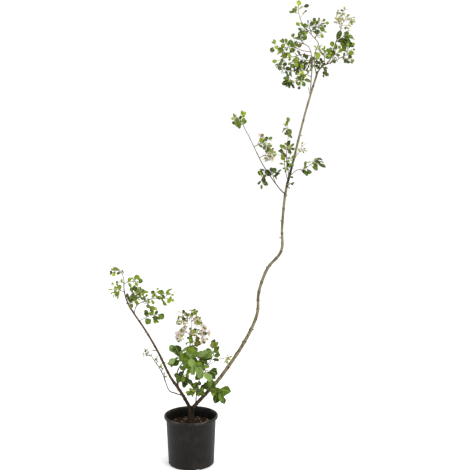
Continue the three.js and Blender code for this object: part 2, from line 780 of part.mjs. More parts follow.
class Mass {
  constructor(record, number, limbs) {
    Object.assign(this, USUAL_HABIT, record);
    this.seed = number + 1;
    this.limb = limbs.get(this.on);
    this.blades = [];
    this.blossomParts = [];
    this.leavesTried = 0;
    this.stem = this.makeStem();
    this.twigs = [this.stem];
  }

  makeStem() {
    const chance = new Chance(this.seed * 7919 + 17);
    const line = archedLine(this.limb.at(this.at), vector(this.tip), this.arch, chance, TWIG.stemSteps);
    return new Twig(line, TWIG.foot, TWIG.tip, this.name);
  }

  grow(space) {
    const chance = new Chance(this.seed * 104729 + 5);
    this.growShoots(space, chance);
    this.growBlossom(space, chance);
    this.growLeaves(space, this.stem, this.bare, this.leaf, chance);
    this.twigs.slice(1).forEach((shoot) => this.growLeaves(space, shoot, 0.15, 0.95 * this.leaf, chance));
  }

  growShoots(space, chance) {
    let hand = chance.next() < 0.5 ? 1 : -1;
    for (let i = 0; i < this.shoots; i += 1) {
      const share = mix(Math.max(this.bare, 0.2), 0.94, (i + chance.between(0.2, 0.8)) / this.shoots);
      for (let attempt = 0; attempt < this.tries; attempt += 1) {
        const shoot = this.tryShoot(share, hand, chance);
        const bones = shoot.bones();
        if (bones.every((bone) => space.boneIsClear(bone))) {
          this.twigs.push(shoot);
          space.bones.push(...bones);
          break;
        }
      }
      hand = -hand;
    }
  }

  tryShoot(share, hand, chance) {
    const root = this.stem.at(share);
    const angle = chance.between(0.65, 1.15);
    const roll = chance.between(-1, 1);
    const length = this.shoot * mix(1.1, 0.7, share) * chance.between(0.75, 1.15);
    const tip = stepAlong(root, leaving(this.stem.heading(share), hand, angle, roll), length);
    const line = archedLine(root, tip, 0.08 * length, chance, TWIG.shootSteps);
    return new Twig(line, TWIG.shootFoot, TWIG.shootTip, this.name);
  }

  // Blooms go to the lowest shoots' tips, buds in threes to the others', further buds along the twigs.
  growBlossom(space, chance) {
    const shoots = this.twigs.slice(1);
    let blooms = this.blooms;
    let buds = this.buds;
    for (const shoot of shoots) {
      if (blooms > 0) {
        blooms -= 1;
        this.addBloom(space, shoot.at(0.97), shoot.heading(1));
      } else {
        const here = Math.min(buds, 3);
        buds -= here;
        for (let i = 0; i < here; i += 1) this.addBud(space, shoot.at(0.97), chance);
      }
    }
    for (; buds > 0; buds -= 1) {
      const twig = this.twigs[Math.floor(chance.next() * this.twigs.length)];
      this.addBud(space, twig.at(chance.between(0.35, 0.97)), chance);
    }
  }

  addBud(space, root, chance) {
    const way = vector([chance.between(-1, 1), chance.between(-1, 1), chance.between(-0.3, 1)]).normalize();
    const tip = stepAlong(root, way, chance.between(BUD.near, BUD.far) + BUD.radius);
    const bone = new Bone(root, tip, BUD.radius, this.name);
    if (!space.boneIsClear(bone)) return;
    space.bones.push(bone);
    this.blossomParts.push(() => spindle(root, tip, BUD.radius));
  }

  addBloom(space, centre, heading) {
    const facing = heading.clone().addScaledVector(FRONT, 0.6).normalize();
    const [foot, top] = [stepAlong(centre, facing, -2), stepAlong(centre, facing, 4)];
    const bone = new Bone(foot, top, BLOOM.radius, this.name);
    if (!space.boneIsClear(bone)) return;
    space.bones.push(bone);
    this.blossomParts.push(() => bloom(centre, facing));
  }

  // Leaves in nearly opposite pairs up a twig, smaller towards its tip, and one at its end.
  growLeaves(space, twig, bare, size, chance) {
    const first = bare * twig.span;
    const count = Math.floor((twig.span - first) / this.gap);
    for (let i = 0; i < count; i += 1) {
      const share = (first + (i + chance.between(0.2, 0.7)) * this.gap) / twig.span;
      const length = size * mix(1, 0.75, share);
      const turn = this.whorl ? 0.5 * Math.PI * (i % 2) + 0.4 : 0;
      const staggered = share + (0.15 * this.gap) / twig.span;
      if (!this.lone || i % 2 === 1) this.tryLeaf(space, twig, Math.min(share, 0.95), 1, length, turn);
      if (!this.lone || i % 2 === 0) this.tryLeaf(space, twig, Math.min(staggered, 0.95), -1, length, turn);
    }
    this.tryLeaf(space, twig, 0.95, 0, 0.85 * size, 0);
  }

  // One leaf, to either hand or, with no hand, onwards from the twig's end.
  // After so many tries that meet something, it is skipped.
  tryLeaf(space, twig, share, hand, size, turn) {
    this.leavesTried += 1;
    const chance = new Chance(this.seed * 4001 + this.leavesTried * 131);
    for (let attempt = 0; attempt < this.tries; attempt += 1) {
      const angle = hand === 0 ? chance.between(0.1, 0.4) : chance.between(0.8, 1.3);
      const roll = turn + chance.between(-0.9, 0.9) * (this.whorl ? 0.5 : 1);
      const tilt = chance.between(-0.8, 0.8);
      const length = size * chance.between(0.66, 1.14);
      const width = length * this.wide * chance.between(0.9, 1.15);
      const axis = leaving(twig.heading(share), hand || 1, angle, roll);
      axis.addScaledVector(UP, -this.hang * chance.between(0.4, 1.6)).normalize();
      const normal = litSide(axis, tilt);
      const [droop, fold] = [chance.between(0.02, 0.22), chance.between(0.02, 0.3)];
      const blade = new Blade(twig.at(share), axis, normal, length, width, droop, fold, this.name);
      if (space.bladeIsClear(blade)) {
        this.blades.push(blade);
        space.blades.push(blade);
        return;
      }
    }
  }

  solid(limbTools) {
    const twigs = this.twigs.map((twig) => twig.solid());
    const leaves = this.blades.map(leafSolid);
    const blossom = this.blossomParts.map((make) => make());
    return clearedOf(wasm.Manifold.union([...twigs, ...leaves, ...blossom]), limbTools);
  }
}

// A closed thin leaf: a flat ring of points round its edge, joined to one point above and one below.
function leafSolid(blade) {
  const geometry = new THREE.SphereGeometry(1, LEAF.outline, 2);
  const position = geometry.attributes.position;
  for (let i = 0; i < position.count; i += 1) {
    const [x, y, z] = [position.getX(i), position.getY(i), position.getZ(i)];
    const share = 0.5 * (1 + x) + LEAF.high * (1 - x * x);
    const across = Math.abs(z) < 0.01 ? 0 : -Math.sign(z);
    const lift = 0.5 * LEAF.thickness * Math.round(y);
    const point = blade.at(share, across).addScaledVector(blade.normal, lift);
    if (share < 0.01) point.addScaledVector(blade.axis, LEAF.start);
    position.setXYZ(i, point.x, point.y, point.z);
  }
  return solid(geometry);
}

// A bud on its stalk: a pointed form, widest near its tip.
function spindle(root, tip, radius) {
  const axis = tip.clone().sub(root).normalize();
  const [side, lift] = around(axis);
  const length = root.distanceTo(tip);
  const geometry = new THREE.OctahedronGeometry(1);
  const position = geometry.attributes.position;
  for (let i = 0; i < position.count; i += 1) {
    const [x, y, z] = [position.getX(i), position.getY(i), position.getZ(i)];
    const along = Math.abs(y) < 0.5 ? BUD.widest * length : Math.max(y, 0) * length;
    const point = stepAlong(root, axis, along)
      .addScaledVector(side, radius * x)
      .addScaledVector(lift, radius * z);
    position.setXYZ(i, point.x, point.y, point.z);
  }
  return solid(geometry);
}

// An open flower: a shallow cup whose edge has one lobe for each petal.
function bloom(centre, facing) {
  const [side, lift] = around(facing);
  const geometry = new THREE.SphereGeometry(1, 2 * BLOOM.petals, 2);
  const position = geometry.attributes.position;
  for (let i = 0; i < position.count; i += 1) {
    const [x, y, z] = [position.getX(i), position.getY(i), position.getZ(i)];
    const edge = Math.hypot(x, z);
    const turn = Math.round((Math.atan2(z, x) / Math.PI) * BLOOM.petals);
    const radius = edge < 0.5 ? 0 : BLOOM.radius * (turn % 2 === 0 ? 1 : BLOOM.notch);
    const height = edge < 0.5 ? 0.5 * BLOOM.thickness * Math.round(y) : BLOOM.cup;
    const point = stepAlong(centre, facing, height)
      .addScaledVector(side, radius * x)
      .addScaledVector(lift, radius * z);
    position.setXYZ(i, point.x, point.y, point.z);
  }
  return solid(geometry);
}

// Putting it together

const boxesMeet = (a, b) => [0, 1, 2].every((i) => a.min[i] <= b.max[i] && b.min[i] <= a.max[i]);

// What is left of a body once its neighbours, thickened by the gap, are cut from it.
function clearedOf(body, tools) {
  const box = body.boundingBox();
  const meeting = tools.filter((tool) => boxesMeet(box, tool.boundingBox()));
  return largestBody(meeting.reduce((left, tool) => left.subtract(tool), body));
}

function addLimbs(group, limbs, tools) {
  for (const limb of limbs.values()) {
    for (const [name, from, to] of limb.parts) {
      group.add(meshOf(name, clearedOf(limb.stretch(from, to, 0), tools), COLOURS.bark));
      tools.push(limb.stretch(from, to, GAP));
    }
  }
}

function addMasses(group, limbs, tools) {
  const space = new Space();
  limbs.forEach((limb) => space.bones.push(...limb.bones()));
  const masses = MASSES.map((record, number) => new Mass(record, number, limbs));
  masses.forEach((mass) => space.bones.push(...mass.stem.bones()));
  for (const mass of masses) {
    mass.grow(space);
    group.add(meshOf(mass.name, mass.solid(tools), COLOURS.leaf));
  }
}

function makePlant() {
  const group = new THREE.Group();
  group.add(makePot(), makePottingMix());
  group.add(meshOf("trunk", makeTrunk(0), COLOURS.bark));
  const limbs = new Map(LIMBS.map((record) => [record.name, new Limb(record)]));
  const tools = [makeTrunk(GAP)];
  addLimbs(group, limbs, tools);
  addMasses(group, limbs, tools);
  return group;
}

export default makePlant();
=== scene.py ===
"""A petite crape myrtle in a nursery pot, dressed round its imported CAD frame.

The foliage grows by the same seeded rule as the CAD source and is then carried on to finer
twigs within the same reach. Lengths are in millimetres, and turn into metres where a mesh is made.
"""

from __future__ import annotations

import logging
import math
from collections.abc import Callable, Iterable, Sequence
from dataclasses import dataclass, field
from enum import Enum

import bmesh
import bpy
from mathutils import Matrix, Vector, noise


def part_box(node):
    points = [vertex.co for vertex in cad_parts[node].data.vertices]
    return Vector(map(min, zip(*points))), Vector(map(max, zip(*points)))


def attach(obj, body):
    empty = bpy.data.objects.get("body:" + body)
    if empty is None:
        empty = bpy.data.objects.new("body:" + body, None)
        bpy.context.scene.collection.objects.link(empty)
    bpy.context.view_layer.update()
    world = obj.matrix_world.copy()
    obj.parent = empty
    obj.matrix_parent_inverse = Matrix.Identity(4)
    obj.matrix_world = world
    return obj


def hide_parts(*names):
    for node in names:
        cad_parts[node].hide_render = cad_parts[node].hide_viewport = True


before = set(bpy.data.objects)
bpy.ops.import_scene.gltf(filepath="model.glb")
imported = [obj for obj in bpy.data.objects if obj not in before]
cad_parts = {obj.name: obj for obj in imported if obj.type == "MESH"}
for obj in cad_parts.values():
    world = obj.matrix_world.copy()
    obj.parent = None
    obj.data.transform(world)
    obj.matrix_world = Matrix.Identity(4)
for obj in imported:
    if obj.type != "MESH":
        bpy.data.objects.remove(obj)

LOG = logging.getLogger("shrub")
BODY = "root"
METRES = 0.001  # in a millimetre
TURN = 2 * math.pi
GAP = 0.3  # between neighbouring pieces, as in the CAD

Point = tuple[float, float, float]
Colour = tuple[int, int, int]
Pairs = tuple[tuple[float, float], ...]
Socket = bpy.types.NodeSocket
Piece = bpy.types.Object

UP: Point = (0.0, 0.0, 1.0)
RIGHT: Point = (1.0, 0.0, 0.0)
FRONT: Point = (0.0, -1.0, 0.0)
HANDS = (1, -1)  # a twig's two sides


# Vectors and chance


def plus(a: Point, b: Point, times: float = 1.0) -> Point:
    """One vector plus a multiple of another."""
    return (a[0] + b[0] * times, a[1] + b[1] * times, a[2] + b[2] * times)


def minus(a: Point, b: Point) -> Point:
    """The way from b to a."""
    return (a[0] - b[0], a[1] - b[1], a[2] - b[2])


def scaled(a: Point, times: float) -> Point:
    """A multiple of a vector."""
    return (a[0] * times, a[1] * times, a[2] * times)


def dot(a: Point, b: Point) -> float:
    """The dot product of two vectors."""
    return a[0] * b[0] + a[1] * b[1] + a[2] * b[2]


def cross(a: Point, b: Point) -> Point:
    """The cross product of two vectors."""
    return (a[1] * b[2] - a[2] * b[1], a[2] * b[0] - a[0] * b[2], a[0] * b[1] - a[1] * b[0])


def distance(a: Point, b: Point = (0.0, 0.0, 0.0)) -> float:
    """The distance between two points, or the length of a vector."""
    way = minus(a, b)
    return math.sqrt(dot(way, way))


def unit(a: Point) -> Point:
    """The direction of a vector."""
    return scaled(a, 1.0 / distance(a))


def square_to(way: Point, axis: Point) -> Point:
    """The part of a vector that is square to an axis."""
    return plus(way, axis, -dot(way, axis))


def spoke(side: Point, lift: Point, turn: float) -> Point:
    """The direction that a turn from one direction towards another gives."""
    return plus(scaled(side, math.cos(turn)), lift, math.sin(turn))


def mix(a: float, b: float, share: float) -> float:
    """A number some share of the way from a to b."""
    return a + (b - a) * share


def limited(value: float, low: float = 0.0, high: float = 1.0) -> float:
    """A number kept between two limits."""
    return min(max(value, low), high)


def eased(value: float) -> float:
    """A smooth rise from 0 to 1, flat at both ends."""
    share = limited(value)
    return share * share * (3 - 2 * share)


def shares_of(steps: int) -> list[float]:
    """Even shares from 0 to 1."""
    return [i / steps for i in range(steps + 1)]


def turns_of(sides: int) -> list[float]:
    """Even turns round a ring."""
    return [TURN * k / sides for k in range(sides)]


def curve_at(points: Sequence[Point], share: float) -> Point:
    """A point of the Catmull-Rom curve through some points.

    Args:
        points: the points that the curve passes through.
        share: how far along, from 0 to 1, with each span taken as equally long.

    Returns:
        The point on the curve.
    """
    spans = len(points) - 1
    along = limited(share) * spans
    step = min(int(along), spans - 1)
    u = along - step
    here, there = points[step], points[step + 1]
    before = points[step - 1] if step > 0 else minus(scaled(here, 2), there)
    after = points[step + 2] if step + 2 <= spans else minus(scaled(there, 2), here)
    place = []
    for a, b, c, d in zip(before, here, there, after):
        leave, reach = 0.5 * (c - a), 0.5 * (d - b)
        bend = -3 * b + 3 * c - 2 * leave - reach
        twist = 2 * b - 2 * c + leave + reach
        place.append(b + leave * u + bend * u * u + twist * u * u * u)
    return tuple(place)


class Chance:
    """A repeatable stream of chances from a whole number, the same as in the CAD source."""

    WORD = 0xFFFFFFFF
    STRIDE = 0x6D2B79F5

    def __init__(self, seed: int) -> None:
        """Starts the stream at a seed."""
        self.state = seed & self.WORD

    @staticmethod
    def of(number: int, times: int, more: int) -> Chance:
        """The stream whose seed a number gives."""
        return Chance(number * times + more)

    def next(self) -> float:
        """Draws the next chance.

        Returns:
            A number from 0 up to 1.
        """
        self.state = (self.state + self.STRIDE) & self.WORD
        t = self.state
        t = ((t ^ (t >> 15)) * (t | 1)) & self.WORD
        t ^= (t + (((t ^ (t >> 7)) * (t | 61)) & self.WORD)) & self.WORD
        return (t ^ (t >> 14)) / (self.WORD + 1)

    def between(self, low: float, high: float) -> float:
        """The next chance, spread between two numbers."""
        return low + (high - low) * self.next()

    def turn(self) -> float:
        """A turn of up to a full circle."""
        return self.between(0, TURN)

    def pick(self, choices: Sequence) -> object:
        """One of some choices."""
        return choices[int(self.next() * len(choices))]


# The growth rule of the CAD source: limbs, and the space round them


CLEAR = 0.9  # kept between the middle surfaces of leaves, and between a leaf and a twig's bark
NOTHING = 1e-9
TOWARDS_LIGHT: Point = unit((0.0, -0.75, 0.66))


@dataclass
class Bone:
    """A straight length of limb, twig, bud or bloom that has its place."""

    start: Point
    end: Point
    radius: float
    owner: str
    middle: Point = field(init=False)
    reach: float = field(init=False)

    def __post_init__(self) -> None:
        """Works out the ball that holds the bone."""
        self.middle = scaled(plus(self.start, self.end), 0.5)
        self.reach = distance(self.start, self.end) / 2 + self.radius + CLEAR


def bones_along(line: Sequence[Point], foot: float, tip: float, owner: str) -> list[Bone]:
    """A line's straight lengths, with radii from its foot's towards its tip's."""
    steps = len(line) - 1
    return [Bone(line[i], line[i + 1], mix(foot, tip, i / steps), owner) for i in range(steps)]


@dataclass(frozen=True)
class Limb:
    """A stem or bough that runs through a few points and tapers from its foot to its tip."""

    name: str
    points: tuple[Point, ...]
    foot: float  # radius
    tip: float
    steps: int  # straight lengths, for growth to keep clear of
    nodes: tuple[str, ...] = ()  # where they aren't one of the limb's own name
    bark: str = "bark_brown"
    thickness: float = 1.0  # beside the CAD limb's
    stubs: tuple[Stub, ...] = ()

    def at(self, share: float) -> Point:
        """A point on the limb's middle line."""
        return curve_at(self.points, share)

    def radius(self, share: float) -> float:
        """The limb's radius at a share of its way."""
        return mix(self.foot, self.tip, share)

    def bones(self) -> list[Bone]:
        """The straight lengths."""
        return bones_along([self.at(s) for s in shares_of(self.steps)], self.foot, self.tip, self.name)


@dataclass
class Blade:
    """A leaf that has its place, as one gently bent surface."""

    root: Point
    axis: Point
    normal: Point
    length: float
    width: float
    droop: float
    fold: float
    owner: str
    share: float  # of its twig's way, where it leaves
    side: Point = field(init=False)
    middle: Point = field(init=False)
    reach: float = field(init=False)
    net: list[tuple[Point, Point]] = field(init=False)  # lines that stand for the leaf

    NET_FOOT = 0.12
    NET_SHARES = (0.28, 0.5, 0.72)
    REACH = 0.62  # share of the length
    LEAN, BLUNT = 0.92, 0.62  # powers that shape the outline
    ENDS = 0.04  # share of the length by which its two ends are widened in tests

    def __post_init__(self) -> None:
        """Works out the leaf's side, the ball that holds it and its net."""
        self.side = cross(self.normal, self.axis)
        self.middle = self.at(0.5, 0)
        self.reach = self.REACH * self.length + CLEAR
        left, right = ([self.at(share, hand) for share in self.NET_SHARES] for hand in HANDS)
        root, tip = self.at(self.NET_FOOT, 0), self.at(1, 0)
        ring = [root, *left, tip, *reversed(right), root]
        rib = [(root, self.middle), (self.middle, tip)]
        self.net = [*zip(ring, ring[1:]), *rib, (left[1], right[1])]

    def half(self, share: float) -> float:
        """Half the leaf's width at a share of its length."""
        return 0.5 * self.width * math.sin(math.pi * limited(share) ** self.LEAN) ** self.BLUNT

    def sag(self, share: float) -> float:
        """How far the leaf hangs below its axis at a share of its length."""
        return self.droop * self.length * share * share

    def lay(self, share: float, aside: float, lift: float) -> Point:
        """The point at a share of the length, so far aside and so far above the axis."""
        point = plus(self.root, self.axis, share * self.length)
        return plus(plus(point, self.side, aside), self.normal, lift)

    def at(self, share: float, across: float) -> Point:
        """A point of the surface: how far along it, and how far from the rib to the edge."""
        aside = across * self.half(share)
        return self.lay(share, aside, abs(aside) * self.fold - self.sag(share))

    def place(self, point: Point) -> Point:
        """Turns a point into the leaf's own terms.

        Args:
            point: any point.

        Returns:
            The share of the leaf's length, and how far aside and above its surface.
        """
        away = minus(point, self.root)
        share, aside = dot(away, self.axis) / self.length, dot(away, self.side)
        return (share, aside, dot(away, self.normal) + self.sag(share) - abs(aside) * self.fold)

    def meets(self, start: Point, end: Point, margin: float) -> bool:
        """Tests a straight line against the leaf.

        Args:
            start: one end of the line.
            end: its other end.
            margin: the least distance to keep.

        Returns:
            Whether the line comes within the margin.
        """
        a, b = self.place(start), self.place(end)
        if (a[2] > margin and b[2] > margin) or (a[2] < -margin and b[2] < -margin):
            return False
        tests = [a, b, scaled(plus(a, b), 0.5)]
        if abs(a[2] - b[2]) > NOTHING:
            share = a[2] / (a[2] - b[2])
            if 0 <= share <= 1:
                tests.append((mix(a[0], b[0], share), mix(a[1], b[1], share), 0.0))
        return any(self.holds(*test, margin) for test in tests)

    def holds(self, share: float, aside: float, height: float, margin: float) -> bool:
        """Whether a place in the leaf's own terms is within a margin of it."""
        level = abs(height) <= margin and -self.ENDS < share < 1 + self.ENDS
        return level and abs(aside) <= self.half(limited(share, self.ENDS, 1 - self.ENDS)) + margin


def gap_between(start: Point, end: Point, other_start: Point, other_end: Point) -> float:
    """Measures between two straight lines of limited length.

    Args:
        start: one end of the first line.
        end: its other end.
        other_start: one end of the second line.
        other_end: its other end.

    Returns:
        The distance between them.
    """
    way, other_way = minus(end, start), minus(other_end, other_start)
    apart = minus(start, other_start)
    a, b, c = dot(way, way), dot(way, other_way), dot(way, apart)
    e, f = dot(other_way, other_way), dot(other_way, apart)
    spread = a * e - b * b
    share = limited((b * f - c * e) / spread) if spread > NOTHING else 0.0
    other_share = (b * share + f) / e
    if other_share < 0:
        other_share, share = 0.0, limited(-c / a)
    elif other_share > 1:
        other_share, share = 1.0, limited((b - c) / a)
    return distance(plus(start, way, share), plus(other_start, other_way, other_share))


class Space:
    """The limbs, what has its place round them, and whether something new would be clear of it."""

    def __init__(self, limbs: dict[str, Limb]) -> None:
        """Starts with the limbs alone."""
        self.limbs, self.blades = limbs, []
        self.bones = [bone for limb in limbs.values() for bone in limb.bones()]

    @staticmethod
    def near(others: Iterable, thing: Bone | Blade, own: str | None) -> list:
        """Finds what is near a bone or a blade.

        Args:
            others: the bones or blades to search.
            thing: the one in question.
            own: the mass whose own are left out, or None.

        Returns:
            Those that may meet it.
        """
        found = []
        x, y, z = thing.middle
        for other in others:
            ox, oy, oz = other.middle
            reach = thing.reach + other.reach
            if other.owner != own and (x - ox) ** 2 + (y - oy) ** 2 + (z - oz) ** 2 < reach * reach:
                found.append(other)
        return found

    def bone_is_clear(self, bone: Bone) -> bool:
        """Tests a new bone against all that isn't its own mass's.

        Args:
            bone: the new bone.

        Returns:
            Whether it keeps clear.
        """
        for other in self.near(self.bones, bone, bone.owner):
            gap = gap_between(bone.start, bone.end, other.start, other.end)
            if gap < bone.radius + other.radius + CLEAR:
                return False
        blades = self.near(self.blades, bone, bone.owner)
        return not any(blade.meets(bone.start, bone.end, bone.radius + CLEAR) for blade in blades)

    def blade_is_clear(self, blade: Blade) -> bool:
        """Tests a new leaf against other masses' twigs and every leaf.

        Args:
            blade: the new leaf.

        Returns:
            Whether it keeps clear.
        """
        for bone in self.near(self.bones, blade, blade.owner):
            margin = bone.radius + CLEAR
            if blade.meets(bone.start, bone.end, margin):
                return False
            if any(gap_between(a, b, bone.start, bone.end) < margin for a, b in blade.net):
                return False
        for other in self.near(self.blades, blade, None):
            for one, net in ((other, blade.net), (blade, other.net)):
                if any(one.meets(a, b, CLEAR) for a, b in net):
                    return False
        return True

    def takes(self, bones: list[Bone]) -> bool:
        """Gives new bones their place where all of them are clear.

        Args:
            bones: the new bones.

        Returns:
            Whether they have their place now.
        """
        clear = all(self.bone_is_clear(bone) for bone in bones)
        if clear:
            self.bones += bones
        return clear


@dataclass
class Twig:
    """A thin branch through a few points. Growth uses the straight lengths between them."""

    points: list[Point]
    foot: float  # radius
    tip: float
    owner: str
    bow: float = 0.0  # how far a straight twig's middle really bends upwards
    leaves: list[float] = field(default_factory=list)  # shares of its way that bear leaves

    @property
    def span(self) -> float:
        """The twig's length."""
        return sum(distance(a, b) for a, b in zip(self.points, self.points[1:]))

    def step_at(self, share: float) -> tuple[Point, Point, float]:
        """Finds the straight length at a share of the way.

        Args:
            share: how far along the twig.

        Returns:
            The length's start, the way to its end, and the share of that way.
        """
        along = limited(share) * (len(self.points) - 1)
        step = min(int(along), len(self.points) - 2)
        return self.points[step], minus(self.points[step + 1], self.points[step]), along - step

    def at(self, share: float) -> Point:
        """A point on the straight lengths."""
        return plus(*self.step_at(share))

    def heading(self, share: float) -> Point:
        """The direction of the straight length at a share of the way."""
        return unit(self.step_at(share)[1])

    def smooth(self, share: float) -> Point:
        """A point on the smooth line that the twig's skin follows."""
        return plus(curve_at(self.points, share), UP, 4 * self.bow * share * (1 - share))

    def bones(self) -> list[Bone]:
        """The straight lengths as bones."""
        return bones_along(self.points, self.foot, self.tip, self.owner)


def facing(way: Point, axis: Point, least: float) -> Point:
    """The direction square to an axis nearest to a way, or to the right where that is too short."""
    square = square_to(way, axis)
    return unit(square_to(RIGHT, axis) if distance(square) < least else square)


def around(heading: Point) -> tuple[Point, Point]:
    """Finds two directions square to a twig.

    Args:
        heading: the twig's direction.

    Returns:
        The one to its side as seen from the front, and the one to the front.
    """
    across = cross(heading, FRONT)
    side = unit(cross(heading, (1.0, 0.0, 0.2)) if distance(across) < 0.2 else across)
    return side, cross(side, heading)


def leaving(heading: Point, hand: int, angle: float, roll: float) -> Point:
    """A direction that leaves a twig at an angle, turned about the twig by a roll."""
    side, lift = around(heading)
    return unit(spoke(heading, spoke(scaled(side, hand), lift, roll), angle))


def lit_side(axis: Point, tilt: float) -> Point:
    """The way a leaf on this axis faces: towards the light, but tilted about its axis."""
    face = facing(TOWARDS_LIGHT, axis, 0.15)
    return unit(spoke(face, cross(axis, face), tilt))


# The masses of foliage


class Region(Enum):
    """A part of the plant whose foliage is joined into the same pieces."""

    CROWN = "crown"
    MIDDLE = "middle"
    LEFT = "left"
    FOOT = "foot"


class Tint(Enum):
    """How light a mass's leaves are, as the photograph shows them."""

    # Besides the leaves' own greens, the tints carry painted light and shade: FRESH, the lightest, goes
    # mostly to tip, outer and upper masses as painted light, and DARK mostly to inner, lower, hanging and
    # back masses as painted shade.
    FRESH = "fresh"
    MIXED = "mixed"
    DARK = "dark"
    DEEP = "deep"
    OLIVE = "olive"
    GREEN = "green"


@dataclass(frozen=True)
class Habit:
    """How one mass grows from its stem. The same fields as in the CAD source, and a few more."""

    name: str
    on: str  # the limb that its stem leaves
    at: float  # at this share of the limb's way
    tip: Point  # of the stem
    leaf: float = 21  # longest leaf
    gap: float = 20  # between leaf pairs
    bare: float = 0.25  # share of the stem with no leaves
    shoots: int = 2
    shoot: float = 30  # their length
    arch: float = 4
    lone: bool = False  # leaves one by one, not in pairs
    wide: float = 0.74  # leaf width to length
    hang: float = 0.12
    whorl: bool = False
    buds: int = 0
    blooms: int = 0
    tries: int = 5
    tint: Tint = Tint.MIXED
    finer: int = 5  # further shoots, which the CAD leaves out
    more_leaves: int = 12
    finer_leaf: float = 0.95  # share of a usual leaf's length
    more_buds: int = 0
    more_blooms: int = 0
    open_to: float = 1.0  # share of the mass's height up to which the finer blooms are open
    in_cad: bool = True


@dataclass(frozen=True)
class Sprig(Habit):
    """How a small mass on the bare wood grows, which the CAD leaves out."""

    shoots: int = 0
    finer: int = 0
    more_leaves: int = 4
    in_cad: bool = False


@dataclass(frozen=True)
class Bloom:
    """An open flower."""

    centre: Point
    facing: Point


class Mass:
    """One mass of foliage, grown from one stem."""

    # What makes the seeds of a mass's streams from its number: times this, plus that
    STEM_SEED = (7919, 17)
    GROWTH_SEED = (104729, 5)
    FINER_SEED = (15731, 29)
    LEAF_SEED = (4001, 131)  # times the second for each leaf tried
    STEM_STEPS = 4
    STEM_WAVER = 0.04  # share of its length
    STEM = (1.5, 0.9)  # radii at foot and tip
    SHOOT = (0.75, 0.65)
    SHOOT_PLACES = (0.2, 0.94)  # shares of the stem's way
    SHOOT_ANGLES = (0.65, 1.15)
    SHOOT_LENGTHS = (1.1, 0.7)  # shares of the usual length, at the parent's foot and tip
    SHOOT_SIZES = (0.75, 1.15)  # by chance, on top of that
    SHOOT_BOW = 0.04  # share of its length
    SHOOT_BARE = 0.15
    SHOOT_LEAF = 0.95
    LEAF_ANGLES = (0.8, 1.3)
    LAST_ANGLES = (0.1, 0.4)  # of a leaf that goes onwards from its twig's end
    LEAF_LENGTHS = (0.66, 1.14)  # shares of the usual
    LEAF_WIDTHS = (0.9, 1.15)
    LEAF_HANGS = (0.4, 1.6)
    LEAF_DROOPS = (0.02, 0.22)
    LEAF_FOLDS = (0.02, 0.3)
    BUD_RADIUS = 2.4
    BUD_REACH = (3.0, 6.0)
    BUDS_AT_TIP = 3
    BLOOM_RADIUS = 11.0
    BLOOM_DEPTH = (-2, 4)
    TIP = 0.97  # share of a shoot's way where its blossom sits
    LAST = 0.95  # share of a twig's way where its last leaf sits
    FINER_SHOOT = 0.75  # share of a usual shoot's length
    FINER_PLACES = (0.3, 0.92)
    FINER_TRIES = 14
    FINER_MARGIN = 5.0  # past the CAD solid's box
    FINER_BLOOMS_APART = 13.0

    def __init__(self, habit: Habit, number: int, region: Region, space: Space) -> None:
        """Sets out the mass's stem.

        Args:
            habit: how it grows.
            number: its place in the order of growth, from 1, which seeds its streams.
            region: where on the plant it is.
            space: what has its place.
        """
        self.habit = habit
        self.seed = number
        self.region = region
        self.space = space
        self.blades: list[tuple[Blade, Twig]] = []
        self.buds: list[Bone] = []
        self.blooms: list[Bloom] = []
        self.leaves_tried = 0
        self.tries = habit.tries
        self.margin = CLEAR
        self.chance = Chance.of(number, *self.STEM_SEED)
        self.stem = Twig(self.stem_line(), *self.STEM, habit.name)
        self.twigs = [self.stem]
        self.low, self.high = self.reach()
        space.bones += self.stem.bones()

    def stem_line(self) -> list[Point]:
        """Sets out the stem's line, which wavers and is bowed upwards.

        Returns:
            The points of the line.
        """
        habit = self.habit
        root = self.space.limbs[habit.on].at(habit.at)
        reach = minus(habit.tip, root)
        waver = self.STEM_WAVER * distance(reach)
        bow = facing(UP, unit(reach), 0.3)
        line = []
        for share in shares_of(self.STEM_STEPS):
            point = plus(plus(root, reach, share), bow, 4 * habit.arch * share * (1 - share))
            if 0 < share < 1:
                point = plus(point, tuple(self.chance.between(-waver, waver) for _ in range(3)))
            line.append(point)
        return line

    def reach(self) -> list[list[float]]:
        """Finds the box that finer growth keeps to.

        Returns:
            Its two corners: the CAD solid's, or those of a box round the stem.
        """
        if self.habit.in_cad:
            return [[part / METRES for part in corner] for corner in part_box(self.habit.name)]
        spread = self.habit.leaf + self.habit.shoot
        columns = list(zip(*self.stem.points))
        return [[min(column) - spread for column in columns], [max(column) + spread for column in columns]]

    def grow(self) -> None:
        """Grows what the CAD solid has."""
        self.chance = Chance.of(self.seed, *self.GROWTH_SEED)
        habit = self.habit
        self.grow_shoots()
        self.grow_blossom(self.twigs[1:], habit.blooms, habit.buds)
        self.grow_leaves(self.stem, habit.bare, habit.leaf)
        for shoot in self.twigs[1:]:
            self.grow_leaves(shoot, self.SHOOT_BARE, self.SHOOT_LEAF * habit.leaf)

    def grow_finer(self) -> None:
        """Carries the growth on to finer shoots and more leaves, within the CAD solid's reach."""
        self.chance = chance = Chance.of(self.seed, *self.FINER_SEED)
        habit = self.habit
        self.tries = max(habit.tries, self.FINER_TRIES)
        self.margin = self.FINER_MARGIN
        size = habit.finer_leaf * habit.leaf
        old = list(self.twigs)
        for _ in range(habit.finer):
            parent, share = chance.pick(old), chance.between(*self.FINER_PLACES)
            self.grow_shoot(parent, share, chance.pick(HANDS), self.FINER_SHOOT)
        new = self.twigs[len(old):]
        top = mix(self.low[2], self.high[2], habit.open_to)
        self.grow_blossom(new, habit.more_blooms, habit.more_buds, self.FINER_BLOOMS_APART, top)
        for shoot in new:
            self.grow_leaves(shoot, self.SHOOT_BARE, size)
        for _ in range(habit.more_leaves):
            twig = chance.pick(self.twigs)
            first = self.FINER_PLACES[0] if twig is self.stem else self.SHOOT_BARE
            self.grow_leaf(twig, chance.between(first, self.LAST), chance.pick(HANDS), size)

